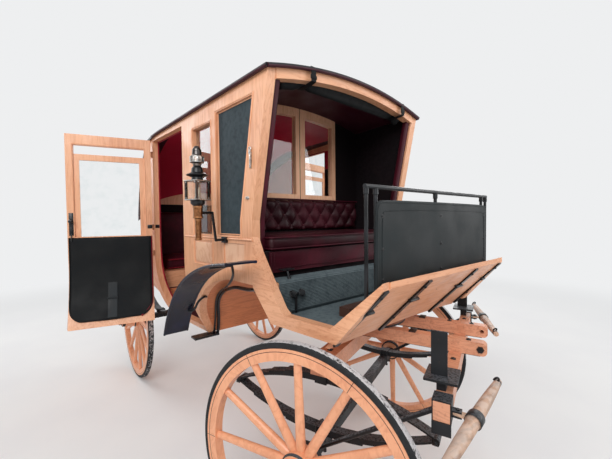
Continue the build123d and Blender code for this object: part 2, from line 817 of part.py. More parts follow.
# Driver's seat: boxed base, soft seat and soft back against the bulkhead
with BuildPart() as seat_box:
    with Locations((bow_x - seat_front, 0, arch_top_z + arch_board)):
        Box(board, 2 * seat_half, seat_base_height, align=back_up)
    with Locations((bulkhead_x, 0, arch_top_z + arch_board + seat_base_height)):
        Box(bulkhead_back - seat_front, 2 * seat_half, board, align=(Align.MIN, Align.CENTER, Align.MAX))
keep("seat_box", seat_box)

with BuildPart() as seat_cushion:
    with Locations((bulkhead_x + soft_gap, 0, seat_top_z)):
        Box(seat_cushion_depth, 2 * seat_half, seat_cushion_height, align=forward_down)
keep("seat_cushion", seat_cushion)

with BuildPart() as seat_back:
    with Locations((bulkhead_x + soft_gap, 0, seat_top_z + soft_gap)):
        Box(back_pad_thickness, 2 * seat_half, back_pad_top_z - seat_top_z, align=forward_up)
    with Locations((bulkhead_x, 0, bulkhead_frame_z)):
        Box(4 * bulkhead_frame_raise, 2 * bulkhead_frame_half + 1, tall, align=standing, mode=Mode.SUBTRACT)
keep("seat_back", seat_back)

# Dash: a stiff panel in an iron frame that stands on the toe board and the sills
dash_foot_z = foot_floor_z + (dash_ahead + foot_floor_front) * toe_slope
dash_plane = Plane(origin=(bow_x + dash_ahead, 0, 0), x_dir=(0, 1, 0), z_dir=(1, 0, 0))
dash_iron_back = -dash_thickness / 2 - iron_radius
with BuildPart() as dash_panel:
    with BuildSketch(dash_plane.offset(-dash_thickness / 2)):
        with Locations((0, dash_top_z)):
            panel = Rectangle(2 * dash_half, dash_top_z - dash_foot_z + 10, align=(Align.CENTER, Align.MAX))
        fillet(panel.vertices().group_by(Axis.Y)[-1], radius=30)
    extrude(amount=dash_thickness)
    add(driver_floor.part, mode=Mode.SUBTRACT)
keep("dash_panel", dash_panel)

with BuildPart() as dash_frame:
    with Locations(dash_plane.location):
        with Locations((0, dash_rail_z, dash_iron_back)):
            Cylinder(iron_radius + 1, 2 * dash_post_half + 2 * iron_radius, rotation=(0, 90, 0))
        for across in (-dash_post_half, -dash_inner_half, -30, dash_inner_half, dash_post_half):
            with Locations((across, dash_rail_z, dash_iron_back)):
                Cylinder(iron_radius, dash_rail_z - dash_foot_z + 30, rotation=(90, 0, 0), align=standing)
    add(driver_floor.part, mode=Mode.SUBTRACT)
    add(side_sills.part, mode=Mode.SUBTRACT)
keep("dash_frame", dash_frame)

# Mudguards over the front wheels, their irons, and the arms of the lamps
with BuildPart() as fenders:
    with BuildSketch(Plane.XZ.offset(fender_inner)):
        with BuildLine():
            ThreePointArc(*[(bow_x - back, z) for back, z in fender_line[:3]])
            ThreePointArc(*[(bow_x - back, z) for back, z in fender_line[2:]])
            offset(amount=fender_thickness, side=Side.LEFT)
        make_face()
    extrude(amount=fender_outer - fender_inner)
    mirror(about=Plane.XZ)
keep("fenders", fenders)

# Lamps at the sides: candle tube, bowl, glazed body with four posts, and chimney
lamp_post = (lamp_size - lamp_post_width) / 2
lamp_light = lamp_size - 2 * lamp_post_width
lamp_low, lamp_high = lamp_glass_z
with BuildPart() as lanterns:
    with BuildSketch(Plane.XZ):
        with BuildLine():
            Polyline(
                (0, lamp_tube_z),
                (lamp_tube_radius, lamp_tube_z),
                (lamp_tube_radius, lamp_bowl_z - 60),
                (lamp_tube_radius + 8, lamp_bowl_z - 54),
                (lamp_tube_radius + 8, lamp_bowl_z),
                (lamp_size / 2 - 8, lamp_bowl_z + 12),
                (lamp_size / 2 - 8, lamp_low - 6),
                (0, lamp_low - 6),
                close=True,
            )
        make_face()
        with BuildLine():
            Polyline(
                (0, lamp_high + 6),
                (27, lamp_high + 6),
                (25, lamp_brim_z - 12),
                (47, lamp_brim_z - 4),
                (48, lamp_brim_z),
                (27, lamp_brim_z + 10),
                (25, lamp_brim_z + 28),
                (17, lamp_brim_z + 40),
                (19, lamp_brim_z + 50),
                (31, lamp_brim_z + 56),
                (31, lamp_brim_z + 82),
                (22, lamp_brim_z + 90),
                (20, lamp_top_z - 17),
                (10, lamp_top_z - 3),
                (0, lamp_top_z),
                close=True,
            )
        make_face()
    revolve(axis=Axis.Z)
    with Locations((0, 0, lamp_low - 3), (0, 0, lamp_high + 3)):
        Box(lamp_size, lamp_size, 6)
    with Locations((0, 0, (lamp_low + lamp_high) / 2)):
        with GridLocations(2 * lamp_post, 2 * lamp_post, 2, 2):
            Box(lamp_post_width, lamp_post_width, lamp_high - lamp_low)
lamp_place = Location((bow_x - lamp_back, -lamp_side, 0), (0, 0, lamp_turn))
lanterns.part = lanterns.part.moved(lamp_place)
with BuildPart(mode=Mode.PRIVATE) as lamp_pair:
    add(lanterns.part)
    mirror(about=Plane.XZ)
keep("lanterns", lamp_pair)

with BuildPart() as lantern_glass:
    with BuildSketch(Plane.XY.offset(lamp_low)):
        Rectangle(lamp_light, lamp_light)
        Rectangle(lamp_light - 2 * lamp_pane, lamp_light - 2 * lamp_pane, mode=Mode.SUBTRACT)
    extrude(amount=lamp_high - lamp_low)
lantern_glass.part = lantern_glass.part.moved(lamp_place)
with BuildPart() as glass_pair:
    add(lantern_glass.part)
    mirror(about=Plane.XZ)
keep("lantern_glass", glass_pair)

# Irons at the sides: mudguard brackets, lamp arms and sockets, entry steps on their two bars
with BuildPart() as side_irons:
    for line, radius in (
        (step_iron_line, step_iron),
        (fender_iron_line, fender_iron_slim),
        (fender_stay_line, fender_stay),
    ):
        bent_rod([(bow_x - back, inwards - bow_half_width, z) for back, inwards, z in line], radius)
    iron_end = (bow_x - fender_iron_back, fender_iron_line[-1][1] - bow_half_width, fender_iron_line[-1][2])
    rod(iron_end, (iron_end[0], 8 - fender_outer, iron_end[2]), fender_iron)
    with Locations(side_face.location * Location((lamp_arm_back, lamp_foot_z, -6))):
        Box(44, 30, 14)
    arm_bend, arm_top = [
        tuple(side_face.from_local_coords((lamp_arm_back - back, z, -out)))
        for back, z, out in ((0, lamp_foot_z, 55), (20, lamp_arm_z, 82))
    ]
    rod(tuple(side_face.from_local_coords((lamp_arm_back, lamp_foot_z, 0))), arm_bend, lamp_arm_radius)
    rod(arm_bend, arm_top, lamp_arm_radius)
    rod(arm_top, (bow_x - lamp_back, -lamp_side, lamp_arm_z), lamp_arm_radius)
    with Locations(arm_bend, arm_top):
        Sphere(lamp_arm_radius)
    with Locations((bow_x - step_back, -step_inner, step_pad_z)):
        Box(*step_pad, align=(Align.CENTER, Align.MAX, Align.MAX))
    joined = (fenders, side_frame_right, side_sills, driver_floor, lower_panels, lanterns, cabin_floor)
    for solid in [made.part for made in joined]:
        add(solid, mode=Mode.SUBTRACT)
    mirror(about=Plane.XZ)
keep("side_irons", side_irons)


def axle(radius, half_track):
    """Square axle bar with its two round arms and their nuts, across the coach"""
    with BuildPart() as beam:
        with Locations((0, 0, radius)):
            Box(axle_bar, 2 * (half_track - hub_back - axle_shoulder), axle_bar)
            Cylinder(axle_arm_radius, 2 * (half_track - hub_back + hub_length + 16), rotation=(90, 0, 0))
        for side in (1, -1):
            with Locations((0, side * (half_track - hub_back + hub_length + 10), radius)):
                Cylinder(axle_nut_radius, 16, rotation=(90, 0, 0))
    return beam.part


# Rear axle and its full springs, hung from a bar under the raised floor
with BuildPart() as rear_axle:
    add(axle(rear_wheel_radius, rear_track / 2))
keep("rear_axle", rear_axle, Location((rear_axle_x, 0, 0)))

with BuildPart() as rear_springs:
    with Locations((0, spring_spread, 0), (0, -spring_spread, 0)):
        rear_seat_z = rear_wheel_radius + axle_bar / 2
        add(elliptic_spring(rear_seat_z, rear_bottom_z - rear_bar_height, rear_spring_half))
    with Locations((0, 0, rear_bottom_z)):
        Box(60, 2 * spring_spread + 80, rear_bar_height, align=hanging)
keep("rear_springs", rear_springs, Location((rear_axle_x, 0, 0)))

# Top bed under the footwell: cross beam, two rails with posts to the arched floor, upper ring plate
with BuildPart() as top_bed:
    with Locations((0, 0, bed_bottom_z)):
        Box(bed_width, 2 * bed_half, foot_floor_z - floor_thickness - bed_bottom_z, align=standing)
    for side in (1, -1):
        with Locations((ring_radius, side * bed_rail_side, bed_bottom_z)):
            Box(2 * ring_radius + bed_rail_width, bed_rail_width, bed_rail_height, align=back_up)
        with Locations((-ring_radius, side * bed_rail_side, bed_bottom_z)):
            Box(bed_rail_width, bed_rail_width, arch_top_z - bed_bottom_z, align=standing)
    with BuildSketch(Plane.XY.offset(bed_bottom_z - ring_height)):
        Circle(ring_radius + ring_width / 2)
        Circle(ring_radius - ring_width / 2, mode=Mode.SUBTRACT)
    extrude(amount=ring_height)
    with Locations((0, 0, bed_bottom_z)):
        Cylinder(kingpin_radius + kingpin_fit, 4 * bed_rail_height, mode=Mode.SUBTRACT)
keep("top_bed", top_bed, Location((kingpin_x, 0, 0)))

# Curtain, rolled up under the front bow
with BuildPart() as front_curtain:
    with BuildSketch(Plane.YZ.offset(bow_x - bow_width - soft_gap)):
        add(roof_outline(roof_radius - roof_skin - soft_gap, 0))
        add(roof_outline(roof_radius - roof_skin - curtain_depth, 0), mode=Mode.SUBTRACT)
        with Locations((0, roof_crown_z)):
            Rectangle(2 * curtain_half, 3 * curtain_depth, mode=Mode.INTERSECT)
    extrude(amount=-curtain_thickness)
keep("front_curtain", front_curtain)

# Doors, modelled shut in the right side, then swung open on their hinges
hinge_point = side_face.from_local_coords((door_rear, 0, -hinge_out))
opened = Location((hinge_point.X, hinge_point.Y, 0)) * Location((0, 0, 0), (0, 0, -door_open))
opened = opened * Location((-hinge_point.X, -hinge_point.Y, 0))
door_low = door_sill_z + door_gap
light_front = door_front + door_gap + door_stile
light_rear = door_rear - door_gap - door_stile
light_top = door_top_z - door_gap - door_top_rail
sash_depth = (door_thickness - sash_thickness) / 2
sash_low = door_glass_z - sash_drop
sash_top = light_top - sash_drop
sash_light = (light_front + sash_stile, light_rear - sash_stile, sash_low + sash_rail, sash_top - sash_rail)

with BuildPart() as door_leaf:
    with BuildSketch(side_cross.offset(door_front - 60)):
        add(wall_outline(0, door_thickness, door_low))
    extrude(amount=door_rear - door_front + 60)
    add(door_space(door_gap), mode=Mode.INTERSECT)
    with BuildSketch(side_face):
        box_outline(light_front, light_rear, door_glass_z, light_top)
    extrude(amount=wide, both=True, mode=Mode.SUBTRACT)
    with BuildSketch(side_face.offset(sash_depth)):
        box_outline(light_front, light_rear, sash_low, door_glass_z)
    extrude(amount=sash_thickness, mode=Mode.SUBTRACT)
    with Locations(side_face.location):
        for height in hinge_heights:
            knuckle_z = height + (hinge_length + hinge_gap) / 2
            with Locations((door_rear, knuckle_z, -hinge_out)):
                Cylinder(hinge_radius, hinge_length, rotation=(90, 0, 0))
            with Locations((door_rear - hinge_strap / 2, knuckle_z, -hinge_radius / 2)):
                Box(hinge_strap, hinge_length, hinge_radius)

# Window sash, dropped a little way into the leaf
with BuildPart() as door_sash:
    with BuildSketch(side_face.offset(sash_depth + sash_fit)):
        box_outline(light_front + sash_fit, light_rear - sash_fit, sash_low, sash_top)
        box_outline(*sash_light, mode=Mode.SUBTRACT)
    extrude(amount=sash_thickness - 2 * sash_fit)

with BuildPart() as door_glass:
    with BuildSketch(side_face.offset(sash_depth + sash_thickness / 2)):
        box_outline(*sash_light)
    extrude(amount=glass_thickness)

# Soft trim panel on the inside of the leaf, below its window
pad_face = door_thickness + soft_gap
with BuildPart() as door_pad:
    with BuildSketch(side_cross.offset(door_front + door_gap + door_pad_edge)):
        add(wall_outline(pad_face, pad_face + door_pad_thickness, door_pad_z, door_glass_z - 4))
    extrude(amount=door_rear - door_front - 2 * (door_gap + door_pad_edge))

door_pieces = {"door_leaf": door_leaf, "door_sash": door_sash, "door_glass": door_glass, "door_pad": door_pad}
for name, right in door_pieces.items():
    keep(name + "_right", right, opened)
    with BuildPart() as left:
        mirror(right.part, about=Plane.XZ)
    keep(name + "_left", left)

# Fore carriage, modelled straight about the kingpin and then turned with it
with BuildPart() as front_axle:
    add(axle(front_wheel_radius, front_track / 2))
keep("front_axle", front_axle, fore_place)

with BuildPart() as front_springs:
    with Locations((0, spring_spread, 0), (0, -spring_spread, 0)):
        add(elliptic_spring(front_wheel_radius + axle_bar / 2, bolster_bottom_z, spring_half_length))
keep("front_springs", front_springs, fore_place)

# Bolster, two fore-and-aft beams, splinter bar, lower ring plate and kingpin
with BuildPart() as fore_frame:
    with Locations((0, 0, bolster_bottom_z)):
        Box(bolster_width, 2 * bolster_half, bolster_top_z - bolster_bottom_z, align=standing)
    with Locations((0, 0, bolster_top_z)):
        Box(bolster_width, 2 * futchell_half, futchell_top_z - bolster_top_z, align=standing)
    for side in (1, -1):
        with Locations((futchell_front, side * futchell_half, bolster_top_z)):
            Box(futchell_front + futchell_rear, futchell_width, futchell_top_z - bolster_top_z,
                align=back_up)
    fillet(faces().sort_by(Axis.X)[-2:].edges().filter_by(Axis.Y), radius=20)
    with Locations((-futchell_rear, 0, bolster_top_z)):
        Box(44, 2 * futchell_half + 150, 40, align=forward_up)
    with Locations((futchell_front - 25, 0, (bolster_top_z + futchell_top_z) / 2)):
        Cylinder(9, 2 * wide, rotation=(90, 0, 0), mode=Mode.SUBTRACT)
    with Locations((splinter_ahead, 0, bolster_top_z)):
        Box(splinter_depth, 2 * splinter_half, splinter_height, align=hanging)
    with BuildSketch(Plane.XY.offset(futchell_top_z)):
        Circle(ring_radius + ring_width / 2)
        Circle(ring_radius - ring_width / 2, mode=Mode.SUBTRACT)
    extrude(amount=ring_height)
    with Locations((0, 0, bolster_top_z)):
        Cylinder(kingpin_radius, kingpin_top_z - bolster_top_z, align=standing)
keep("fore_frame", fore_frame, fore_place)

# Irons of the fore carriage: stays to the splinter bar, its end caps, step plates and swingletree clips
splinter_mid_z = bolster_top_z - splinter_height / 2
with BuildPart() as axle_room:
    add(axle(front_wheel_radius, front_track / 2))
with BuildPart() as fore_irons:
    rod((0, stay_side, front_wheel_radius), (splinter_ahead, splinter_half - 40, splinter_mid_z), stay_radius)
    with Locations((splinter_ahead, splinter_half - splinter_cap / 2, splinter_mid_z)):
        Box(splinter_depth + 2 * splinter_cap_wall, splinter_cap, splinter_height + 2 * splinter_cap_wall)
    with Locations((splinter_ahead - 10, tread_side, bolster_top_z)):
        Box(30, 60, tread_z - bolster_top_z, align=standing)
    with Locations((splinter_ahead - 10, tread_side, tread_z - tread[2])):
        Box(*tread, align=standing)
    with Locations((splinter_ahead - 18, tread_side + 15, tread_z)):
        Box(*tread_side_plate, align=standing)
    for up in (1, -1):
        with Locations((clip_ahead + 12, clip_side, splinter_mid_z + up * (clip_gap + clip_plate) / 2)):
            Box(clip_reach + 12, 24, clip_plate, align=(Align.MAX, Align.CENTER, Align.CENTER))
    with Locations((clip_ahead, clip_side, splinter_mid_z)):
        Cylinder(clip_pin, clip_gap + 2 * clip_plate + 8)
    add(axle_room.part, mode=Mode.SUBTRACT)
    with Locations((splinter_ahead, 0, bolster_top_z)):
        Box(splinter_depth, 2 * splinter_half, splinter_height, align=hanging, mode=Mode.SUBTRACT)
    mirror(about=Plane.XZ)
keep("fore_irons", fore_irons, fore_place)

# Swingletrees: a turned bar with tapered ends, on an eye plate that takes the clip's pin
with BuildPart() as swingletree:
    with BuildSketch(Plane.XY.offset(splinter_mid_z)):
        with BuildLine():
            ThreePointArc(
                (swing_offset + swing_tip_radius, -swing_length / 2),
                (swing_offset + swing_radius, 0),
                (swing_offset + swing_tip_radius, swing_length / 2),
            )
            Polyline(
                (swing_offset + swing_tip_radius, swing_length / 2),
                (swing_offset, swing_length / 2),
                (swing_offset, -swing_length / 2),
                (swing_offset + swing_tip_radius, -swing_length / 2),
            )
        make_face()
    revolve(axis=Axis((swing_offset, 0, splinter_mid_z), (0, 1, 0)))
    with Locations((swing_offset, 0, splinter_mid_z)):
        Cylinder(swing_radius + 3, 30, rotation=(90, 0, 0))
    with Locations((-swing_eye, 0, splinter_mid_z)):
        Box(swing_eye + swing_offset, 2 * swing_eye, clip_gap - 2, align=forward)
    with Locations((0, 0, splinter_mid_z)):
        Cylinder(clip_pin + clip_pin_fit, clip_gap, mode=Mode.SUBTRACT)
for name, side in (("swingletree_right", -1), ("swingletree_left", 1)):
    with BuildPart() as hung:
        add(swingletree.part)
    keep(name, hung, fore_place * Location((clip_ahead, side * clip_side, 0), (0, 0, side * swing_turn)))


def wheel(radius, spokes):
    """Wooden wheel about Z, outer side up: turned hub, tapered spokes and felloe ring"""
    rim_inner = radius - tyre_depth - felloe_depth
    root = Vector(hub_radius - 8, 0, -dish)
    tip = Vector(rim_inner + 3, 0, 0)
    with BuildPart() as spoke:
        for end, share in ((root, 1), (tip, spoke_taper)):
            with BuildSketch(Plane(origin=end, x_dir=(0, 1, 0), z_dir=tip - root)):
                Ellipse(spoke_round / 2 / share, spoke_across / 2 / share)
        loft()
    with BuildPart() as turned:
        with BuildSketch(Plane.XZ):
            with BuildLine():
                Polyline(
                    (axle_arm_radius + axle_fit, -hub_back),
                    (hub_radius - 14, -hub_back),
                    (hub_radius, -hub_back + 34),
                    (hub_radius, 12),
                    (hub_nose_radius, hub_length - hub_back - 26),
                    (hub_nose_radius, hub_length - hub_back),
                    (axle_arm_radius + axle_fit, hub_length - hub_back),
                    close=True,
                )
            make_face()
            with Locations((rim_inner, 0)):
                Rectangle(felloe_depth, felloe_width, align=(Align.MIN, Align.CENTER))
        revolve(axis=Axis.Z)
        with BuildPart(mode=Mode.PRIVATE) as bore:
            Cylinder(axle_arm_radius + axle_fit, 2 * hub_length)
        with PolarLocations(0, spokes):
            add(spoke.part)
        add(bore.part, mode=Mode.SUBTRACT)
    return turned.part


def tyre(radius):
    """Tyre about Z, round-edged, on the felloe ring"""
    with BuildPart() as ring:
        with BuildSketch(Plane.XZ):
            with Locations((radius - tyre_depth, 0)):
                band = Rectangle(tyre_depth, tyre_width, align=(Align.MIN, Align.CENTER))
            fillet(band.vertices().group_by(Axis.X)[-1], radius=tyre_edge)
        revolve(axis=Axis.Z)
    return ring.part


for end, radius, spokes, half, place in (
    ("front", front_wheel_radius, front_spokes, front_track / 2, fore_place),
    ("rear", rear_wheel_radius, rear_spokes, rear_track / 2, Location((rear_axle_x, 0, 0))),
):
    for hand, side in (("right", -1), ("left", 1)):
        stand = place * Location((0, side * half, radius), (-side * 90, 0, 0))
        with BuildPart() as wheel_piece:
            add(wheel(radius, spokes))
        keep(f"{end}_wheel_{hand}", wheel_piece, stand)
        with BuildPart() as tyre_piece:
            add(tyre(radius))
        keep(f"{end}_tyre_{hand}", tyre_piece, stand)
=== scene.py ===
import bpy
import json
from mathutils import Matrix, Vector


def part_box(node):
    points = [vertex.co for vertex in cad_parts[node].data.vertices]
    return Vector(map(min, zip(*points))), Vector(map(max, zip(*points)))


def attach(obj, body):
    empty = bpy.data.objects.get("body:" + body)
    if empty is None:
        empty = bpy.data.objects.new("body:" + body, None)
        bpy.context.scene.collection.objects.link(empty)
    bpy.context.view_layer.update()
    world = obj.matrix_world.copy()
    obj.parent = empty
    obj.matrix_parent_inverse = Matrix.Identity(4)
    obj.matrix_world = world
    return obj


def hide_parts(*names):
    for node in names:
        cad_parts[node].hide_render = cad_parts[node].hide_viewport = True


bl_info = {
    "name": "Light Coach",
    "version": (1, 0, 0),
    "blender": (4, 5, 0),
    "location": "3D View > Sidebar > Light Coach",
    "description": "Finishes, upholstery and fittings of a light coach around its fixed frame",
    "category": "Add Mesh",
}

import bmesh
import bpy
import json
from math import cos, pi, radians, sin, sqrt
from mathutils import Matrix, Vector, noise

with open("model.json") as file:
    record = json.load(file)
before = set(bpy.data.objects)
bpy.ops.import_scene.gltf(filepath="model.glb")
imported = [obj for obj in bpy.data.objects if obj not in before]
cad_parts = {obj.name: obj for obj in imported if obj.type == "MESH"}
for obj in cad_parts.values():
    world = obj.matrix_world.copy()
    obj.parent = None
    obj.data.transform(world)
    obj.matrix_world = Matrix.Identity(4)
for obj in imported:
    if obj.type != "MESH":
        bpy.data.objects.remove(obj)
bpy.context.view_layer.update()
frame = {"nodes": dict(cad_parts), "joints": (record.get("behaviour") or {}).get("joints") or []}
nodes = frame["nodes"]
joints = {joint["name"]: joint for joint in frame["joints"]}

# Places in metres, +X forward and +Y the coach's left; what the frame gives is read from it
bow_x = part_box("front_bow")[1].x
bulkhead_x = bow_x - 0.5
rear_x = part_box("rear_panels")[0].x
half_width = 0.570
taper = radians(4)
inner_face = 0.0455  # of the sides, from their outer face
spring_y = 0.450
weld = 0.00002  # vertices closer than this are one
wheels = [f"{end}_wheel_{hand}" for end in ("front", "rear") for hand in ("right", "left")]
turn_top = 1.150  # below this height the sides and doors turn in
turn_radius = 0.850
kingpin = Vector(joints["steer"]["pos_m"]).xy.to_3d()
hinge = Vector(joints["door_right"]["pos_m"]).xy.to_3d()

# From a side's own back, height and inward distances to the coach
side_place = Matrix(
    (
        (-cos(taper), 0, -sin(taper), bow_x),
        (-sin(taper), 0, cos(taper), -half_width),
        (0, 1, 0, 0),
        (0, 0, 0, 1),
    )
)
door_place = Matrix.Translation(hinge) @ Matrix.Rotation(radians(-108), 4, "Z") @ Matrix.Translation(-hinge)
fore_place = Matrix.Translation(kingpin) @ Matrix.Rotation(radians(20), 4, "Z")
across = Matrix.Scale(-1, 4, (0, 1, 0))
upright = Matrix.Identity(4)


def tone(red, green, blue):
    """A colour as the eye reads it, 0 to 255, made linear for a shader"""
    values = (((c / 255 + 0.055) / 1.055) ** 2.4 if c > 10 else c / 3294.6 for c in (red, green, blue))
    return (*values, 1.0)


# ---------------------------------------------------------------- shader groups


def new_group(name, inputs, outputs):
    """Empty shader group; the kind of an input follows from its default"""
    tree = bpy.data.node_groups.new(name, "ShaderNodeTree")
    for label, default in inputs.items():
        kind = {3: "Vector", 4: "Color"}[len(default)] if isinstance(default, tuple) else "Float"
        socket = tree.interface.new_socket(name=label, in_out="INPUT", socket_type="NodeSocket" + kind)
        socket.default_value = default
    for label, kind in outputs.items():
        tree.interface.new_socket(name=label, in_out="OUTPUT", socket_type="NodeSocket" + kind)
    return tree, tree.nodes.new("NodeGroupInput").outputs, tree.nodes.new("NodeGroupOutput").inputs


def add_node(tree, kind, sockets=(), **settings):
    """Adds a shader node, sets its settings and gives its sockets values or links"""
    made = tree.nodes.new("ShaderNode" + kind)
    for key, value in settings.items():
        setattr(made, key, value)
    for key, value in dict(sockets).items():
        if isinstance(value, bpy.types.NodeSocket):
            tree.links.new(value, made.inputs[key])
        else:
            made.inputs[key].default_value = value
    return made


def math(tree, operation, first, second=0.0, clamp=False):
    return add_node(tree, "Math", {0: first, 1: second}, operation=operation, use_clamp=clamp).outputs[0]


def times(tree, first, *others, clamp=False):
    for other in others:
        first = math(tree, "MULTIPLY", first, other, clamp)
    return first


def over(tree, value, limit):
    return math(tree, "GREATER_THAN", value, limit)


def under(tree, value, limit):
    return math(tree, "LESS_THAN", value, limit)


def vector_math(tree, operation, first, second=(0, 0, 0), output="Vector"):
    return add_node(tree, "VectorMath", {0: first, 1: second}, operation=operation).outputs[output]


def axes(tree, vector):
    """The three parts of a vector"""
    return add_node(tree, "SeparateXYZ", {0: vector}).outputs


def face_normal(tree):
    return add_node(tree, "NewGeometry").outputs["Normal"]


def cloud(tree, spot, scale, detail, roughness=0.5, distortion=0.0):
    """Soft random patches"""
    sockets = {"Vector": spot, "Scale": scale, "Detail": detail}
    sockets.update({"Roughness": roughness, "Distortion": distortion})
    return add_node(tree, "TexNoise", sockets).outputs[0]


def mix_colour(tree, share, first, second):
    return add_node(tree, "Mix", {0: share, 6: first, 7: second}, data_type="RGBA").outputs[2]


def mix_value(tree, share, first, second):
    return add_node(tree, "Mix", {0: share, 2: first, 3: second}, data_type="FLOAT").outputs[0]


def spread(tree, value, low, high, to_low=0.0, to_high=1.0):
    """Spreads a value's range between two limits"""
    sockets = {"Value": value, "From Min": low, "From Max": high, "To Min": to_low, "To Max": to_high}
    return add_node(tree, "MapRange", sockets, interpolation_type="SMOOTHSTEP").outputs[0]


def make_wood_figure():
    """Long grain: broad figure, fine pores and slow changes of colour along a board"""
    tree, start, end = new_group(
        "Wood figure",
        {"Vector": (0, 0, 0), "Stretch": (20, 20, 2), "Pale": (1, 1, 1, 1), "Dark": (0, 0, 0, 1)},
        {"Color": "Color", "Height": "Float"},
    )
    along = vector_math(tree, "MULTIPLY", start["Vector"], start["Stretch"])
    broad = cloud(tree, along, 1.0, 5.0, distortion=1.2)
    rings = math(tree, "SINE", times(tree, broad, 34.0))
    ring_share = spread(tree, rings, -0.4, 1.3)
    fine_run = vector_math(tree, "MULTIPLY", along, (9, 9, 2.5))
    fine = cloud(tree, fine_run, 1.6, 3.0)
    pores = spread(tree, fine, 0.52, 0.75)
    blotch = cloud(tree, start["Vector"], 2.6, 2.0)
    share = times(tree, ring_share, 0.34)
    share = math(tree, "ADD", share, times(tree, pores, 0.34))
    share = math(tree, "ADD", share, spread(tree, blotch, 0.35, 0.7, -0.12, 0.30), clamp=True)
    tree.links.new(mix_colour(tree, share, start["Pale"], start["Dark"]), end["Color"])
    tree.links.new(math(tree, "SUBTRACT", times(tree, ring_share, 0.3), pores), end["Height"])
    return tree


def make_hide():
    """Pebbled hide: small cells with a fine crease between them"""
    tree, start, end = new_group(
        "Hide grain",
        {"Vector": (0, 0, 0), "Scale": 300.0},
        {"Height": "Float", "Creases": "Float"},
    )
    cells = add_node(
        tree, "TexVoronoi", {"Vector": start["Vector"], "Scale": start["Scale"]}, feature="SMOOTH_F1"
    )
    soft = cloud(tree, start["Vector"], 9.0, 4.0, distortion=1.0)
    creases = spread(tree, soft, 0.47, 0.50)
    tree.links.new(cells.outputs["Distance"], end["Height"])
    tree.links.new(creases, end["Creases"])
    return tree


def make_weave():
    """Plain weave: two sets of threads over and under one another"""
    tree, start, end = new_group(
        "Plain weave",
        {"Vector": (0, 0, 0), "Threads": 900.0},
        {"Height": "Float", "Slub": "Float"},
    )
    parts = axes(tree, start["Vector"])
    run = math(tree, "ADD", parts[0], parts[1])
    warp = math(tree, "SINE", times(tree, run, start["Threads"]))
    weft = math(tree, "SINE", times(tree, parts[2], start["Threads"]))
    slub = cloud(tree, start["Vector"], 40.0, 3.0)
    tree.links.new(math(tree, "MAXIMUM", warp, weft), end["Height"])
    tree.links.new(slub, end["Slub"])
    return tree


def make_dust():
    """Pale dust that settles on faces that look up, in patches"""
    tree, start, end = new_group(
        "Settled dust",
        {
            "Vector": (0, 0, 0), "Color": (0, 0, 0, 1), "Dust": (0.6, 0.6, 0.6, 1),
            "Amount": 0.3, "Patch": 30.0,
        },
        {"Color": "Color", "Mask": "Float"},
    )
    normal = face_normal(tree)
    up = spread(tree, axes(tree, normal)[2], 0.15, 0.8)
    patches = cloud(tree, start["Vector"], start["Patch"], 6.0)
    mask = times(tree, up, spread(tree, patches, 0.36, 0.58))
    mask = times(tree, mask, start["Amount"], clamp=True)
    tree.links.new(mix_colour(tree, mask, start["Color"], start["Dust"]), end["Color"])
    tree.links.new(mask, end["Mask"])
    return tree


def make_wheel_marks():
    """Lines painted round a wheel and the joints of its rim, about a centre and an axle"""
    tree, start, end = new_group(
        "Wheel marks",
        {
            "Vector": (0, 0, 0), "Centre": (0, 0, 0), "Axle": (0, 1, 0),
            "Radius": 0.44, "Rim": 0.40, "Joints": 6.0,
        },
        {"Mask": "Float", "Rim Mask": "Float"},
    )
    offset = vector_math(tree, "SUBTRACT", start["Vector"], start["Centre"])
    along = vector_math(tree, "DOT_PRODUCT", offset, start["Axle"], "Value")
    flat = vector_math(tree, "SUBTRACT", offset, vector_math(tree, "SCALE", start["Axle"]))
    scale_node = flat.node.inputs[1].links[0].from_node
    tree.links.new(along, scale_node.inputs["Scale"])
    distance = vector_math(tree, "LENGTH", flat, output="Value")
    line = math(tree, "COMPARE", distance, start["Radius"])
    line.node.inputs[2].default_value = 0.0013
    height = axes(tree, flat)[2]
    level_axis = vector_math(tree, "CROSS_PRODUCT", start["Axle"], (0, 0, 1))
    level = vector_math(tree, "DOT_PRODUCT", flat, level_axis, "Value")
    turn = times(tree, math(tree, "ARCTAN2", height, level), start["Joints"])
    cut = math(tree, "COMPARE", math(tree, "SINE", times(tree, turn, 0.5)), 0.0)
    cut.node.inputs[2].default_value = 0.008
    rim = over(tree, distance, start["Rim"])
    cut = times(tree, cut, rim)
    tree.links.new(math(tree, "MAXIMUM", line, cut), end["Mask"])
    tree.links.new(rim, end["Rim Mask"])
    return tree


shared = {}


def fill_group(tree, name, sockets):
    """Places a shared group in a material with its own values"""
    return add_node(tree, "Group", sockets, node_tree=shared[name]).outputs


# ---------------------------------------------------------------- finishes


def start_finish(name, **values):
    """New material with its shader, coordinates and plain values"""
    material = bpy.data.materials.new(name)
    material.use_nodes = True
    tree = material.node_tree
    shader = tree.nodes["Principled BSDF"]
    for key, value in values.items():
        shader.inputs[key.replace("_", " ")].default_value = value
    return material, tree, add_node(tree, "TexCoord").outputs["Object"]


def end_finish(material, colour, roughness, relief=None, distance=0.0, strength=0.0):
    """Feeds a material's colour, roughness and fine relief to its shader"""
    tree = material.node_tree
    shader = tree.nodes["Principled BSDF"].inputs
    tree.links.new(colour, shader["Base Color"])
    tree.links.new(roughness, shader["Roughness"])
    if relief:
        bump = add_node(tree, "Bump", {"Height": relief, "Distance": distance, "Strength": strength})
        tree.links.new(bump.outputs[0], shader["Normal"])
    return material


def settle(tree, spot, colour, dust, amount, patch=30.0):
    """A colour with dust on what looks up"""
    sockets = {"Vector": spot, "Color": colour, "Dust": tone(*dust), "Amount": amount, "Patch": patch}
    return fill_group(tree, "Settled dust", sockets)["Color"]


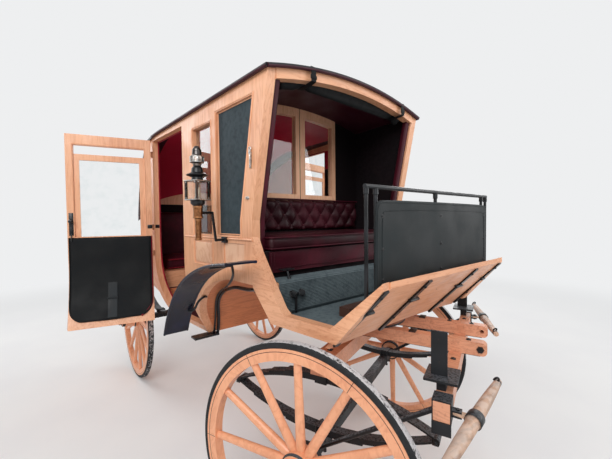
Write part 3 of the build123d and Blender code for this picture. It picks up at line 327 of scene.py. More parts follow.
def make_wood(name, stretch, pale, dark, roughness=0.42, marks=None, dust=0.0, other=None):
    """Varnished wood, its grain stretched one way; inside a box of places it may be painted another colour"""
    material, tree, spot = start_finish(name, Roughness=roughness, Coat_Weight=0.18, Coat_Roughness=0.25)
    figure = fill_group(tree, "Wood figure", {"Vector": spot, "Stretch": stretch, "Pale": pale, "Dark": dark})
    colour = figure["Color"]
    if marks:
        lines = fill_group(tree, "Wheel marks", {"Vector": spot, **marks})
        colour = mix_colour(tree, lines["Mask"], colour, tone(72, 40, 26))
    if other:
        low, high, paint = other
        x, _, z = axes(tree, spot)
        level = over(tree, z, low[2]), under(tree, z, high[2])
        inside = times(tree, *level, over(tree, x, low[0]), under(tree, x, high[0]))
        colour = mix_colour(tree, inside, colour, paint)
    if dust:
        colour = settle(tree, spot, colour, (226, 214, 205), dust)
    wear = spread(tree, cloud(tree, spot, 14.0, 4.0), 0.3, 0.7, roughness - 0.08, roughness + 0.14)
    return end_finish(material, colour, wear, figure["Height"], 0.0006, 0.45)


def make_leather(name, colour, rubbed, roughness=0.42, scale=330.0, dust=0.0, lining=None, specular=0.4):
    """Hide with its grain and rubbed patches; what looks down may be lined, the cabin in its own colour"""
    material, tree, spot = start_finish(
        name, Sheen_Weight=0.0, Sheen_Roughness=0.5, Specular_IOR_Level=specular
    )
    hide = fill_group(tree, "Hide grain", {"Vector": spot, "Scale": scale})
    rub = cloud(tree, spot, 6.0, 5.0)
    body = mix_colour(tree, spread(tree, rub, 0.42, 0.72), colour, rubbed)
    body = mix_colour(tree, times(tree, hide["Creases"], 0.10), body, tone(4, 4, 5))
    if lining:
        down = under(tree, axes(tree, face_normal(tree))[2], -0.05)
        x, y, _ = axes(tree, spot)
        lining_half = 0.535
        cabin = times(tree, under(tree, math(tree, "ABSOLUTE", y), lining_half), under(tree, x, bulkhead_x))
        body = mix_colour(tree, down, body, mix_colour(tree, cabin, lining[1], lining[0]))
    if dust:
        body = settle(tree, spot, body, (170, 172, 176), dust)
    wear = spread(tree, rub, 0.3, 0.7, roughness - 0.06, roughness + 0.14)
    return end_finish(material, body, wear, hide["Height"], 0.0004, 0.35)


def make_cloth(name, colour, shade, threads=900.0, roughness=0.85, sheen=0.35, below=None):
    """Woven cloth with slubs and a soft sheen; below a height it may be darkened as painted shade"""
    material, tree, spot = start_finish(name, Sheen_Weight=sheen, Sheen_Roughness=0.4, Specular_IOR_Level=0.2)
    weave = fill_group(tree, "Plain weave", {"Vector": spot, "Threads": threads})
    fade = spread(tree, cloud(tree, spot, 4.0, 5.0), 0.35, 0.7, 0.0, 0.6)
    share = math(tree, "ADD", fade, spread(tree, weave["Slub"], 0.45, 0.7, 0.0, 0.4))
    cloth = mix_colour(tree, share, colour, shade)
    if below:
        # painted shade: below this height the cloth takes the given dark colour
        cloth = mix_colour(tree, under(tree, axes(tree, spot)[2], below[0]), cloth, below[1])
    wear = spread(tree, weave["Slub"], 0.3, 0.7, roughness - 0.08, roughness + 0.08)
    return end_finish(material, cloth, wear, weave["Height"], 0.0004, 0.4)


def make_iron(name, colour=tone(20, 21, 24), roughness=0.45, dust=0.0, rust=0.25):
    """Painted iron: brush marks, chips down to a brown rust, and some dust"""
    material, tree, spot = start_finish(name, Metallic=0.35, Specular_IOR_Level=0.5)
    chips = cloud(tree, spot, 55.0, 8.0, 0.7)
    paint = cloud(tree, spot, 9.0, 3.0)
    base = mix_colour(tree, spread(tree, paint, 0.3, 0.7), colour, tone(30, 32, 36))
    base = mix_colour(tree, times(tree, spread(tree, chips, 0.60, 0.66), rust), base, tone(92, 58, 40))
    if dust:
        base = settle(tree, spot, base, (168, 172, 180), dust, 130.0)
    wear = spread(tree, paint, 0.3, 0.7, roughness - 0.08, roughness + 0.16)
    return end_finish(material, base, wear, chips, 0.0005, 0.3)


def make_metal(name, colour, shade, roughness=0.28):
    """Bare metal, polished but tarnished in patches"""
    material, tree, spot = start_finish(name, Metallic=1.0)
    tarnish = cloud(tree, spot, 38.0, 6.0)
    base = mix_colour(tree, spread(tree, tarnish, 0.4, 0.72), colour, shade)
    wear = spread(tree, tarnish, 0.35, 0.75, roughness, roughness + 0.3)
    return end_finish(material, base, wear, tarnish, 0.0003, 0.2)


def make_glass(name):
    """Clear pane with a faint haze of dust in its colour"""
    material, tree, spot = start_finish(name, Transmission_Weight=1.0, IOR=1.45, Metallic=0.0)
    haze = cloud(tree, spot, 18.0, 5.0)
    pane = mix_colour(tree, spread(tree, haze, 0.4, 0.8), tone(252, 253, 253), tone(243, 247, 247))
    return end_finish(material, pane, spread(tree, haze, 0.5, 0.9, 0.0, 0.012))


def make_tyre(name, centre, axle):
    """Black rubber tyre with a pale, dusty tread"""
    material, tree, spot = start_finish(name, Specular_IOR_Level=0.35)
    grime = cloud(tree, spot, 60.0, 8.0, 0.7)
    base = mix_colour(tree, spread(tree, grime, 0.35, 0.75), tone(17, 18, 20), tone(46, 47, 50))
    side_on = math(tree, "ABSOLUTE", vector_math(tree, "DOT_PRODUCT", face_normal(tree), axle, "Value"))
    high = spread(tree, axes(tree, spot)[2], centre[2] * 0.6, centre[2] * 1.7)
    patch = math(tree, "ADD", cloud(tree, spot, 58.0, 9.0, 0.72), times(tree, high, 0.15))
    chalk = times(tree, under(tree, side_on, 0.55), times(tree, spread(tree, patch, 0.50, 0.64), 0.86))
    base = mix_colour(tree, chalk, base, tone(214, 212, 214))
    wear = spread(tree, grime, 0.3, 0.7, 0.55, 0.85)
    return end_finish(material, base, wear, math(tree, "ADD", grime, chalk), 0.0012, 0.5)


def make_bulkhead(name, pale, dark):
    """Bulkhead: dark hide in front, crimson cloth behind, and natural wood on the raised window frames"""
    material, tree, spot = start_finish(name, Specular_IOR_Level=0.2)
    figure = fill_group(
        tree, "Wood figure", {"Vector": spot, "Stretch": (30, 30, 3), "Pale": pale, "Dark": dark}
    )
    hide = fill_group(tree, "Hide grain", {"Vector": spot, "Scale": 260.0})
    x, y, z = axes(tree, spot)
    window = under(tree, math(tree, "ABSOLUTE", y), 0.3195)
    reveal = times(tree, window, times(tree, over(tree, z, 1.531), over(tree, x, bulkhead_x - 0.0272)))
    wooden = math(tree, "MAXIMUM", over(tree, x, bulkhead_x + 0.0008), reveal)
    gap = under(tree, math(tree, "ABSOLUTE", math(tree, "ADD", y, 0.006)), 0.0022)
    lining = mix_colour(tree, under(tree, x, bulkhead_x - 0.0275), tone(15, 7, 10), tone(168, 22, 52))
    joinery = mix_colour(tree, gap, figure["Color"], tone(38, 22, 16))
    relief = mix_value(tree, wooden, hide["Height"], figure["Height"])
    colour = mix_colour(tree, wooden, lining, joinery)
    return end_finish(material, colour, mix_value(tree, wooden, 0.62, 0.42), relief, 0.0005, 0.4)


def make_floor_boards(name, pale, dark, carpet):
    """Boards seen from below, with a crimson carpet on top"""
    material, tree, spot = start_finish(name, Specular_IOR_Level=0.3)
    figure = fill_group(
        tree, "Wood figure", {"Vector": spot, "Stretch": (24, 2, 24), "Pale": pale, "Dark": dark}
    )
    pile = cloud(tree, spot, 420.0, 2.0)
    up = over(tree, axes(tree, face_normal(tree))[2], 0.1)
    worn = mix_colour(tree, spread(tree, pile, 0.3, 0.7), carpet, tone(38, 10, 16))
    colour = mix_colour(tree, up, figure["Color"], worn)
    relief = mix_value(tree, up, figure["Height"], pile)
    return end_finish(material, colour, mix_value(tree, up, 0.5, 0.95), relief, 0.0012, 0.5)


def make_lamp_metal(name):
    """Lamp: brass tube, black bowl and cone, bright posts and a brass and nickel chimney"""
    material, tree, spot = start_finish(name, Specular_IOR_Level=0.5)
    height = axes(tree, spot)[2]
    mottle = cloud(tree, spot, 70.0, 6.0)
    share = spread(tree, mottle, 0.4, 0.7)
    colour, metal, rough = mix_colour(tree, share, tone(158, 108, 72), tone(112, 72, 46)), 1.0, 0.30
    black = mix_colour(tree, share, tone(14, 15, 17), tone(34, 35, 38))
    bright = mix_colour(tree, share, tone(168, 156, 148), tone(84, 76, 70))
    posts = mix_colour(tree, share, tone(92, 88, 86), tone(44, 42, 42))
    for level, finish, metallic, roughness in (
        (1.4682, black, 0.2, 0.35),
        (1.4936, posts, 1.0, 0.25),
        (1.5866, black, 0.2, 0.35),
        (1.6530, bright, 1.0, 0.28),
        (1.7010, posts, 1.0, 0.28),
    ):
        above = over(tree, height, level)
        colour = mix_colour(tree, above, colour, finish)
        metal = mix_value(tree, above, metal, metallic)
        rough = mix_value(tree, above, rough, roughness)
    tree.links.new(metal, tree.nodes["Principled BSDF"].inputs["Metallic"])
    return end_finish(material, colour, rough, mottle, 0.0004, 0.25)


finishes = {}
slots = {  # for the repainting of whole groups
    **dict.fromkeys(("burgundy", "seat hide", "door hide", "strap hide"), "upholstery"),
    **dict.fromkeys(("lining", "mat", "curtain", "crimson piping", "cabin cloth"), "curtain"),
    **dict.fromkeys(("clean iron", "iron"), "iron"),
    **dict.fromkeys(("brass", "nickel", "wax"), "lamp_metal"),
    **dict.fromkeys(("upright wood", "panel wood"), "wood"),
    **dict.fromkeys(("dash hide", "fender hide"), "fender_leather"),
    "roof hide": "roof_leather",
}


# ---------------------------------------------------------------- shapes


def shift(x=0.0, y=0.0, z=0.0):
    return Matrix.Translation((x, y, z))


def verts_of(made):
    """The new vertices of an operator's result"""
    return [v for v in made["geom"] if isinstance(v, bmesh.types.BMVert)]


def rim_of(part):
    return [e for e in part.edges if e.is_boundary]


def face_outward(part, within=0.0):
    """Turns all faces outward, after joining vertices that lie within a distance"""
    if within:
        bmesh.ops.remove_doubles(part, verts=part.verts, dist=within)
    bmesh.ops.recalc_face_normals(part, faces=part.faces)
    return part


def put(target, part, place=upright):
    """Moves a part to its place and adds it to another mesh"""
    bmesh.ops.transform(part, matrix=place, verts=part.verts)
    if place.determinant() < 0:
        bmesh.ops.reverse_faces(part, faces=part.faces)
    mesh = bpy.data.meshes.new("part")
    part.to_mesh(mesh)
    part.free()
    target.from_mesh(mesh)
    bpy.data.meshes.remove(mesh)
    return target


def ease(part, edge, segments=2, angle=radians(30)):
    """Rounds the sharp edges of a part"""
    sharp = [e for e in part.edges if len(e.link_faces) == 2 and e.calc_face_angle() > angle]
    bmesh.ops.bevel(
        part, geom=sharp, offset=edge, offset_type="OFFSET", segments=segments, profile=0.5, affect="EDGES",
        material=-1, clamp_overlap=True,
    )
    return part


def block(size, centre=(0, 0, 0), edge=0.002, segments=2):
    """Box with eased edges"""
    part = bmesh.new()
    bmesh.ops.create_cube(part, size=1)
    bmesh.ops.scale(part, vec=size, verts=part.verts)
    if edge:
        ease(part, edge, segments)
    bmesh.ops.translate(part, vec=centre, verts=part.verts)
    return part


def board(outline, thickness, edge=0.0, segments=2):
    """Flat board with this outline in x and y, and this thickness up z"""
    part = bmesh.new()
    face = part.faces.new([part.verts.new((x, y, 0)) for x, y in outline])
    made = bmesh.ops.extrude_face_region(part, geom=[face])
    bmesh.ops.translate(part, verts=verts_of(made), vec=(0, 0, thickness))
    face_outward(part)
    if edge:
        ease(part, edge, segments)
    return part


def strip(chain, width, thickness, axis=1):
    """Flat band along points, as wide as this along an axis"""
    part = bmesh.new()
    start = [part.verts.new(point) for point in chain]
    made = bmesh.ops.extrude_edge_only(part, edges=[part.edges.new(pair) for pair in zip(start, start[1:])])
    bmesh.ops.translate(part, verts=verts_of(made), vec=Vector((0, width, 0) if axis else (width, 0, 0)))
    bmesh.ops.solidify(part, geom=part.faces, thickness=thickness)
    return face_outward(part)


def turned(profile, steps=28):
    """Turned shape about z from radius and height pairs"""
    part = bmesh.new()
    chain = [part.verts.new((radius, 0, height)) for radius, height in profile]
    edges = [part.edges.new(pair) for pair in zip(chain, chain[1:])]
    bmesh.ops.spin(
        part, geom=chain + edges, axis=(0, 0, 1), cent=(0, 0, 0), steps=steps, angle=2 * pi, use_merge=True
    )
    return face_outward(part, weld)


def tube(points, radius, closed=False, straight=False, sides=4):
    """Round bar along points: a smooth run, or straight runs with mitred corners"""
    line = bpy.data.curves.new("run", "CURVE")
    line.dimensions = "3D"
    line.bevel_depth = radius
    line.bevel_resolution = sides
    line.use_fill_caps = True
    spline = line.splines.new("POLY" if straight else "NURBS")
    spline.points.add(len(points) - 1)
    for point, place in zip(spline.points, points):
        point.co = (*place, 1)
    spline.use_cyclic_u = closed
    if not straight:
        spline.order_u = 3
        spline.use_endpoint_u = not closed
        spline.resolution_u = 6
    holder = bpy.data.objects.new("run", line)
    mesh = bpy.data.meshes.new_from_object(holder)
    part = bmesh.new()
    part.from_mesh(mesh)
    bpy.data.objects.remove(holder)
    bpy.data.curves.remove(line)
    bpy.data.meshes.remove(mesh)
    return face_outward(part, weld)


def aim(place, direction):
    """Matrix that stands z along a direction at a place"""
    return Matrix.Translation(place) @ Vector(direction).to_track_quat("Z", "Y").to_matrix().to_4x4()


def bolt(place, direction, radius=0.007, height=0.006):
    """Domed bolt head on its square plate"""
    dome = [(0, height), (radius * 0.55, height * 0.86), (radius * 0.9, height * 0.4), (radius, 0), (0, 0)]
    part = turned(dome, 14)
    put(part, block((radius * 2.8, radius * 2.8, 0.002), edge=0.0005, segments=1))
    bmesh.ops.transform(part, matrix=aim(place, direction), verts=part.verts)
    return part


def gather(*shapes):
    """One mesh from several shapes; a pair is a shape and its place"""
    part = bmesh.new()
    for shape in shapes:
        put(part, *(shape if isinstance(shape, tuple) else (shape,)))
    return part


def make_piece(name, part, finish, place=upright, body="coach", both=False, angle=40, replaces=()):
    """Turns a mesh into a finished object that rides on a body; with both, its mirror image joins it"""
    bmesh.ops.transform(part, matrix=place, verts=part.verts)
    if both:
        put(part, part.copy(), across)
    mesh = bpy.data.meshes.new(name)
    part.to_mesh(mesh)
    part.free()
    made = bpy.data.objects.new(name, mesh)
    bpy.context.scene.collection.objects.link(made)
    mesh.materials.append(finishes[finish])
    mesh.shade_smooth()
    mesh.set_sharp_from_angle(angle=radians(angle))
    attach(made, body)
    if replaces:
        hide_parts(*replaces)
    return made


def round_off(share):
    """Quarter circle: rises steeply from 0 and ends level at 1"""
    return sqrt(max(0.0, 1 - (1 - share) ** 2))


def corners(left, right, low, high):
    return [(left, low), (right, low), (right, high), (left, high)]


def turned_in(height, depth):
    """How far inside the side's face a point lies that is this deep in the wall"""
    drop = max(turn_top - height, 0)
    return turn_radius - sqrt((turn_radius - depth) ** 2 - drop**2)


def at_depth(outline, depth):
    """The points of a flat outline, all at one depth"""
    return [(x, y, depth) for x, y in outline]


def along_side(outline, depth):
    """The points of an outline in back and height, following the side where it turns in"""
    return [(back, height, turned_in(height, depth)) for back, height in outline]


def swell(piece, cap, floor_z):
    """Blows a closed form up a little as cloth, no point further than the cap nor below the floor"""
    frames = 20
    scene = bpy.context.scene
    rest = [v.co.copy() for v in piece.data.vertices]
    cloth = piece.modifiers.new("Cloth", "CLOTH")
    cloth.settings.use_pressure = True
    cloth.settings.uniform_pressure_force = 4.0
    cloth.settings.effector_weights.gravity = 0.0
    cloth.settings.quality = 4
    cloth.point_cache.frame_start = 1
    cloth.point_cache.frame_end = frames
    for step in range(1, frames + 1):
        scene.frame_set(step)
    blown = piece.evaluated_get(bpy.context.evaluated_depsgraph_get()).data
    moves = [after.co - before for after, before in zip(blown.vertices, rest)]
    piece.modifiers.clear()
    for vertex, before, move in zip(piece.data.vertices, rest, moves):
        if move.length > cap:
            move *= cap / move.length
        vertex.co = before + move
        vertex.co.z = max(vertex.co.z, floor_z)
    scene.frame_set(1)


def make_cushion(name, low, high, edge, finish, crown, cap, replaces, voxel=0.008):
    """Padded cushion: an eased box, remeshed, blown up as cloth and smoothed"""
    size = high - low - Vector((0.012, 0.012, crown))
    part = block(size, (low + high) / 2 - Vector((0, 0, crown / 2)), edge, 4)
    cushion = make_piece(name, part, finish, replaces=replaces)
    shrink = cushion.modifiers.new("Remesh", "REMESH")
    shrink.mode = "VOXEL"
    shrink.voxel_size = voxel
    shrink.use_smooth_shade = True
    bpy.context.view_layer.update()
    solid = bpy.data.meshes.new_from_object(cushion.evaluated_get(bpy.context.evaluated_depsgraph_get()))
    cushion.modifiers.clear()
    old = cushion.data
    cushion.data = solid
    bpy.data.meshes.remove(old)
    swell(cushion, cap, low.z)
    part = bmesh.new()
    part.from_mesh(cushion.data)
    bmesh.ops.smooth_vert(
        part, verts=part.verts, factor=0.5, use_axis_x=True, use_axis_y=True, use_axis_z=True
    )
    part.to_mesh(cushion.data)
    part.free()
    cushion.data.shade_smooth()
    return cushion


# ---------------------------------------------------------------- settings


class CoachColours(bpy.types.PropertyGroup):
    """Colours that a user would change"""

    wood_pale: bpy.props.FloatVectorProperty(
        name="Pale wood", description="Lighter figure of the varnished wood", size=4, subtype="COLOR",
        default=tone(236, 176, 136), min=0, max=1,
    )
    wood_dark: bpy.props.FloatVectorProperty(
        name="Dark wood", description="Darker figure of the varnished wood", size=4, subtype="COLOR",
        default=tone(196, 122, 82), min=0, max=1,
    )
    canvas: bpy.props.FloatVectorProperty(
        name="Canvas", description="Side canvas", size=4, subtype="COLOR",
        default=tone(48, 62, 68), min=0, max=1,
    )
    hide: bpy.props.FloatVectorProperty(
        name="Upholstery", description="Hide of the seats", size=4, subtype="COLOR",
        default=tone(58, 10, 23), min=0, max=1,
    )
    cabin: bpy.props.FloatVectorProperty(
        name="Cabin cloth", description="Cloth inside the cabin", size=4, subtype="COLOR",
        default=tone(186, 22, 58), min=0, max=1,
    )


class CoachSizes(bpy.types.PropertyGroup):
    """Sizes of the fittings that a user would change"""

    button_pitch: bpy.props.FloatProperty(
        name="Button spacing", description="Between the buttons of one row in the seat's back",
        default=0.100, min=0.05, unit="LENGTH",
    )
    row_pitch: bpy.props.FloatProperty(
        name="Row spacing", description="Between two rows of buttons", default=0.066, min=0.03, unit="LENGTH"
    )
    tuft_depth: bpy.props.FloatProperty(
        name="Tuft depth", description="How far the buttons pull the back in",
        default=0.026, min=0.0, unit="LENGTH",
    )
    bead: bpy.props.FloatProperty(
        name="Bead", description="Radius of the mouldings round the panels",
        default=0.0045, min=0.001, unit="LENGTH",
    )
    rib_pitch: bpy.props.FloatProperty(
        name="Rib spacing", description="Between the ribs of the footwell's mat",
        default=0.007, min=0.003, unit="LENGTH",
    )


# ---------------------------------------------------------------- stage and finishes


class COACH_OT_stage(bpy.types.Operator):
    """Camera, pale floor and soft studio light"""

    bl_idname = "coach.stage"
    bl_label = "Stage"

    def execute(self, context):
        scene = context.scene
        scene.view_settings.view_transform = "Standard"
        sight = Vector((-0.76693, 0.64098, -0.03094))
        right = Vector((0.64151, 0.76704, -0.01086))
        above = Vector((-0.01677, 0.02818, 0.99946))
        camera = bpy.data.objects.new("Camera", bpy.data.cameras.new("Camera"))
        camera.data.lens = 18.839
        camera.data.sensor_width = 36.0
        camera.data.clip_start = 0.05
        turn = Matrix((right, above, -sight)).transposed().to_4x4()
        camera.matrix_world = Matrix.Translation((2.0478, -1.3292, 1.4001)) @ turn
        scene.collection.objects.link(camera)
        scene.camera = camera

        part = bmesh.new()
        bmesh.ops.create_circle(part, cap_ends=True, radius=30, segments=96)
        mesh = bpy.data.meshes.new("floor")
        part.to_mesh(mesh)
        part.free()
        floor = bpy.data.objects.new("floor", mesh)
        scene.collection.objects.link(floor)
        material, tree, spot = start_finish("Pale floor", Roughness=0.9, Specular_IOR_Level=0.0)
        patches = cloud(tree, spot, 1.5, 4.0)
        backdrop, black = tone(238, 239, 240), (0, 0, 0, 1)
        ground = mix_colour(tree, spread(tree, patches, 0.3, 0.7), tone(238, 238, 238), tone(234, 234, 235))
        away = spread(tree, vector_math(tree, "LENGTH", spot, output="Value"), 2.0, 7.5)
        away = times(tree, away, add_node(tree, "LightPath").outputs["Is Camera Ray"])
        shader = tree.nodes["Principled BSDF"].inputs
        tree.links.new(mix_colour(tree, away, ground, black), shader["Base Color"])
        tree.links.new(mix_colour(tree, away, black, backdrop), shader["Emission Color"])
        shader["Emission Strength"].default_value = 1.0
        floor.data.materials.append(material)

        world = bpy.data.worlds.new("Studio")
        scene.world = world
        world.use_nodes = True
        tree = world.node_tree
        tree.nodes.clear()
        rays = add_node(tree, "LightPath").outputs
        mirrored = math(tree, "MAXIMUM", rays["Is Glossy Ray"], rays["Is Transmission Ray"])
        seen = math(tree, "MAXIMUM", rays["Is Camera Ray"], mirrored)
        soft = add_node(tree, "Background", {"Color": (1, 1, 1, 1), "Strength": 0.42}).outputs[0]
        pale = add_node(tree, "Background", {"Color": backdrop, "Strength": 1.0}).outputs[0]
        choice = add_node(tree, "MixShader", {0: seen, 1: soft, 2: pale}).outputs[0]
        add_node(tree, "OutputWorld", {0: choice})

        for name, place, target, size, power in (
            ("Key", (3.6, -3.4, 4.0), (0.4, -0.2, 1.1), 2.6, 170),
            ("Fill", (4.2, 3.2, 2.6), (0.2, 0.0, 1.2), 3.0, 70),
            ("Rear", (-4.2, -2.2, 3.6), (-0.4, 0.0, 1.2), 3.0, 90),
            ("Far side", (-1.0, 5.0, 3.2), (0.0, 0.0, 1.1), 3.0, 70),
        ):
            lamp = bpy.data.lights.new(name, "AREA")
            lamp.size = size
            lamp.energy = power
            holder = bpy.data.objects.new(name, lamp)
            turn = (Vector(target) - Vector(place)).to_track_quat("-Z", "Y")
            holder.matrix_world = Matrix.Translation(place) @ turn.to_matrix().to_4x4()
            scene.collection.objects.link(holder)
        return {"FINISHED"}


class COACH_OT_finishes(bpy.types.Operator):
    """Makes the materials and gives every frame piece its own"""

    bl_idname = "coach.finishes"
    bl_label = "Finishes"

    def execute(self, context):
        colours = context.scene.coach_colours
        pale, dark = tuple(colours.wood_pale), tuple(colours.wood_dark)
        hide, cabin, canvas = tuple(colours.hide), tuple(colours.cabin), tuple(colours.canvas)
        shared.update(
            {
                "Wood figure": make_wood_figure(),
                "Hide grain": make_hide(),
                "Plain weave": make_weave(),
                "Settled dust": make_dust(),
                "Wheel marks": make_wheel_marks(),
            }
        )
        finishes.update(
            {
                "upright wood": make_wood("Varnished wood, upright grain", (26, 26, 2.2), pale, dark),
                "long wood": make_wood("Varnished wood, long grain", (2.2, 26, 26), pale, dark),
                "cross wood": make_wood("Varnished wood, cross grain", (26, 2.2, 26), pale, dark),
                "footwell wood": make_wood(
                    "Footwell wood", (26, 2.2, 26), pale, dark,
                    other=((bow_x + 0.1, 0, 0.9705), (bow_x + 0.29, 0, 1.05), tone(74, 46, 36)),
                ),
                "panel wood": make_wood(
                    "Figured panel wood", (7, 7, 4), tone(238, 190, 156), tone(206, 136, 98)
                ),
                "fore wood": make_wood(
                    "Fore carriage wood", (2.4, 20, 20), tone(218, 154, 120), tone(160, 98, 70), 0.5,
                    other=((-9, 0, 0.8801), (9, 0, 9), tone(20, 20, 22)),
                ),
                "bed wood": make_wood(
                    "Underbody wood", (20, 2.4, 20), tone(158, 96, 64), tone(96, 54, 36), 0.55
                ),
                "worn wood": make_wood(
                    "Weathered wood", (9, 2.0, 9), tone(206, 168, 142), tone(96, 72, 62), 0.6, dust=0.35
                ),
                "roof hide": make_leather(
                    "Roof hide", tone(18, 20, 23), tone(34, 37, 42), 0.5, 240.0,
                    lining=(cabin, tone(60, 12, 29)),
                ),
                "canvas": make_cloth("Side canvas", canvas, tone(36, 48, 54), 1500.0, 0.72, 0.1),
                "lining": make_cloth("Dark lining", tone(19, 8, 13), tone(10, 6, 9), 1300.0, 0.8, 0.05),
                "burgundy": make_leather("Burgundy hide", hide, tone(80, 16, 33), 0.48, 320.0, specular=0.22),
                "seat hide": make_leather(
                    "Seat hide", tone(44, 8, 17), tone(64, 13, 26), 0.46, 300.0, specular=0.22
                ),
                # the cloth itself is crimson; below 1.83 m it turns near black, a painted shade of the dim cabin
                "cabin cloth": make_cloth(
                    "Cabin cloth", cabin, tone(150, 16, 46), 1100.0, 0.85, 0.1, (1.83, tone(20, 8, 13))
                ),
                "crimson piping": make_cloth(
                    "Crimson piping", tone(158, 18, 40), tone(110, 12, 28), 2200.0, 0.6, 0.2
                ),
                "door hide": make_leather(
                    "Door hide", tone(9, 11, 13), tone(16, 19, 22), 0.62, 280.0, specular=0.22
                ),
                "curtain": make_cloth("Rolled curtain", tone(17, 19, 21), tone(9, 10, 12), 1400.0, 0.7, 0.06),
                "fender hide": make_leather(
                    "Mudguard hide", tone(12, 16, 34), tone(24, 31, 56), 0.30, 260.0, dust=0.08
                ),
                "strap hide": make_leather(
                    "Strap hide", tone(18, 22, 25), tone(32, 37, 41), 0.50, 260.0, specular=0.3
                ),
                "dash hide": make_leather(
                    "Dash hide", tone(19, 25, 27), tone(29, 36, 38), 0.52, 260.0, dust=0.04, specular=0.25
                ),
                "iron": make_iron("Painted iron", dust=0.10),
                "dusty iron": make_iron("Dusty iron", tone(16, 17, 19), 0.5, 0.24),
                "clean iron": make_iron("Black enamel", tone(16, 17, 19), 0.32, rust=0.1),
                "brass": make_metal("Old brass", tone(176, 126, 86), tone(116, 78, 50)),
                "nickel": make_metal("Dull nickel", tone(204, 202, 198), tone(128, 124, 120), 0.24),
                "glass": make_glass("Window glass"),
                "lamp metal": make_lamp_metal("Lamp metal"),
                "bulkhead": make_bulkhead("Bulkhead joinery", tone(246, 192, 156), tone(208, 142, 106)),
                "floor boards": make_floor_boards(
                    "Cabin floor", tone(206, 128, 86), tone(150, 84, 54), tone(84, 18, 30)
                ),
                "mat": make_cloth("Ribbed mat", tone(98, 110, 114), tone(64, 74, 79), 2600.0, 0.7, 0.0),
                "wax": make_leather("Candle wax", tone(238, 226, 204), tone(226, 210, 184), 0.5, 60.0),
            }
        )
        for finish, names in (
            ("roof hide", "roof_skin"),
            ("cross wood", "front_bow bench"),
            ("upright wood", "side_frame_right side_frame_left rear_panels door_leaf_right"),
            ("upright wood", "door_leaf_left door_sash_right door_sash_left"),
            ("canvas", "canvas_panels"),
            ("panel wood", "lower_panels"),
            ("glass", "body_glass lantern_glass door_glass_right door_glass_left"),
            ("floor boards", "cabin_floor"),
            ("bulkhead", "bulkhead"),
            ("long wood", "side_sills"),
            ("footwell wood", "driver_floor"),
            ("lining", "seat_box"),
            ("dash hide", "dash_panel"),
            ("clean iron", "dash_frame side_irons"),
            ("fender hide", "fenders"),
            ("lamp metal", "lanterns"),
            ("dusty iron", "rear_axle rear_springs front_axle front_springs fore_irons"),
            ("bed wood", "top_bed"),
            ("fore wood", "fore_frame"),
            ("worn wood", "swingletree_right swingletree_left"),
            ("seat hide", "seat_cushion seat_back"),
            ("cabin cloth", "bench_cushions"),
            ("curtain", "front_curtain"),
            ("door hide", "door_pad_right door_pad_left"),
        ):
            for node in names.split():
                self.give(node, finishes[finish])
        for name in wheels:
            rim, felloes = (0.406, 6.0) if "front" in name else (0.441, 7.0)
            centre, axle = tuple(joints[name]["pos_m"]), tuple(joints[name]["axis"])
            end, _, hand = name.split("_")
            marks = {"Centre": centre, "Axle": axle, "Radius": rim + 0.034, "Rim": rim, "Joints": felloes}
            wood = f"Wheel wood, {end} {hand}", (9, 9, 9), tone(238, 170, 130), tone(210, 136, 98)
            self.give(name, make_wood(*wood, marks=marks))
            self.give(name.replace("wheel", "tyre"), make_tyre(f"Tyre, {end} {hand}", centre, axle))
        return {"FINISHED"}

    def give(self, node, material):
        mesh = nodes[node].data
        mesh.materials.clear()
        mesh.materials.append(material)
        mesh.polygons.foreach_set("material_index", [0] * len(mesh.polygons))


# ---------------------------------------------------------------- driver's place


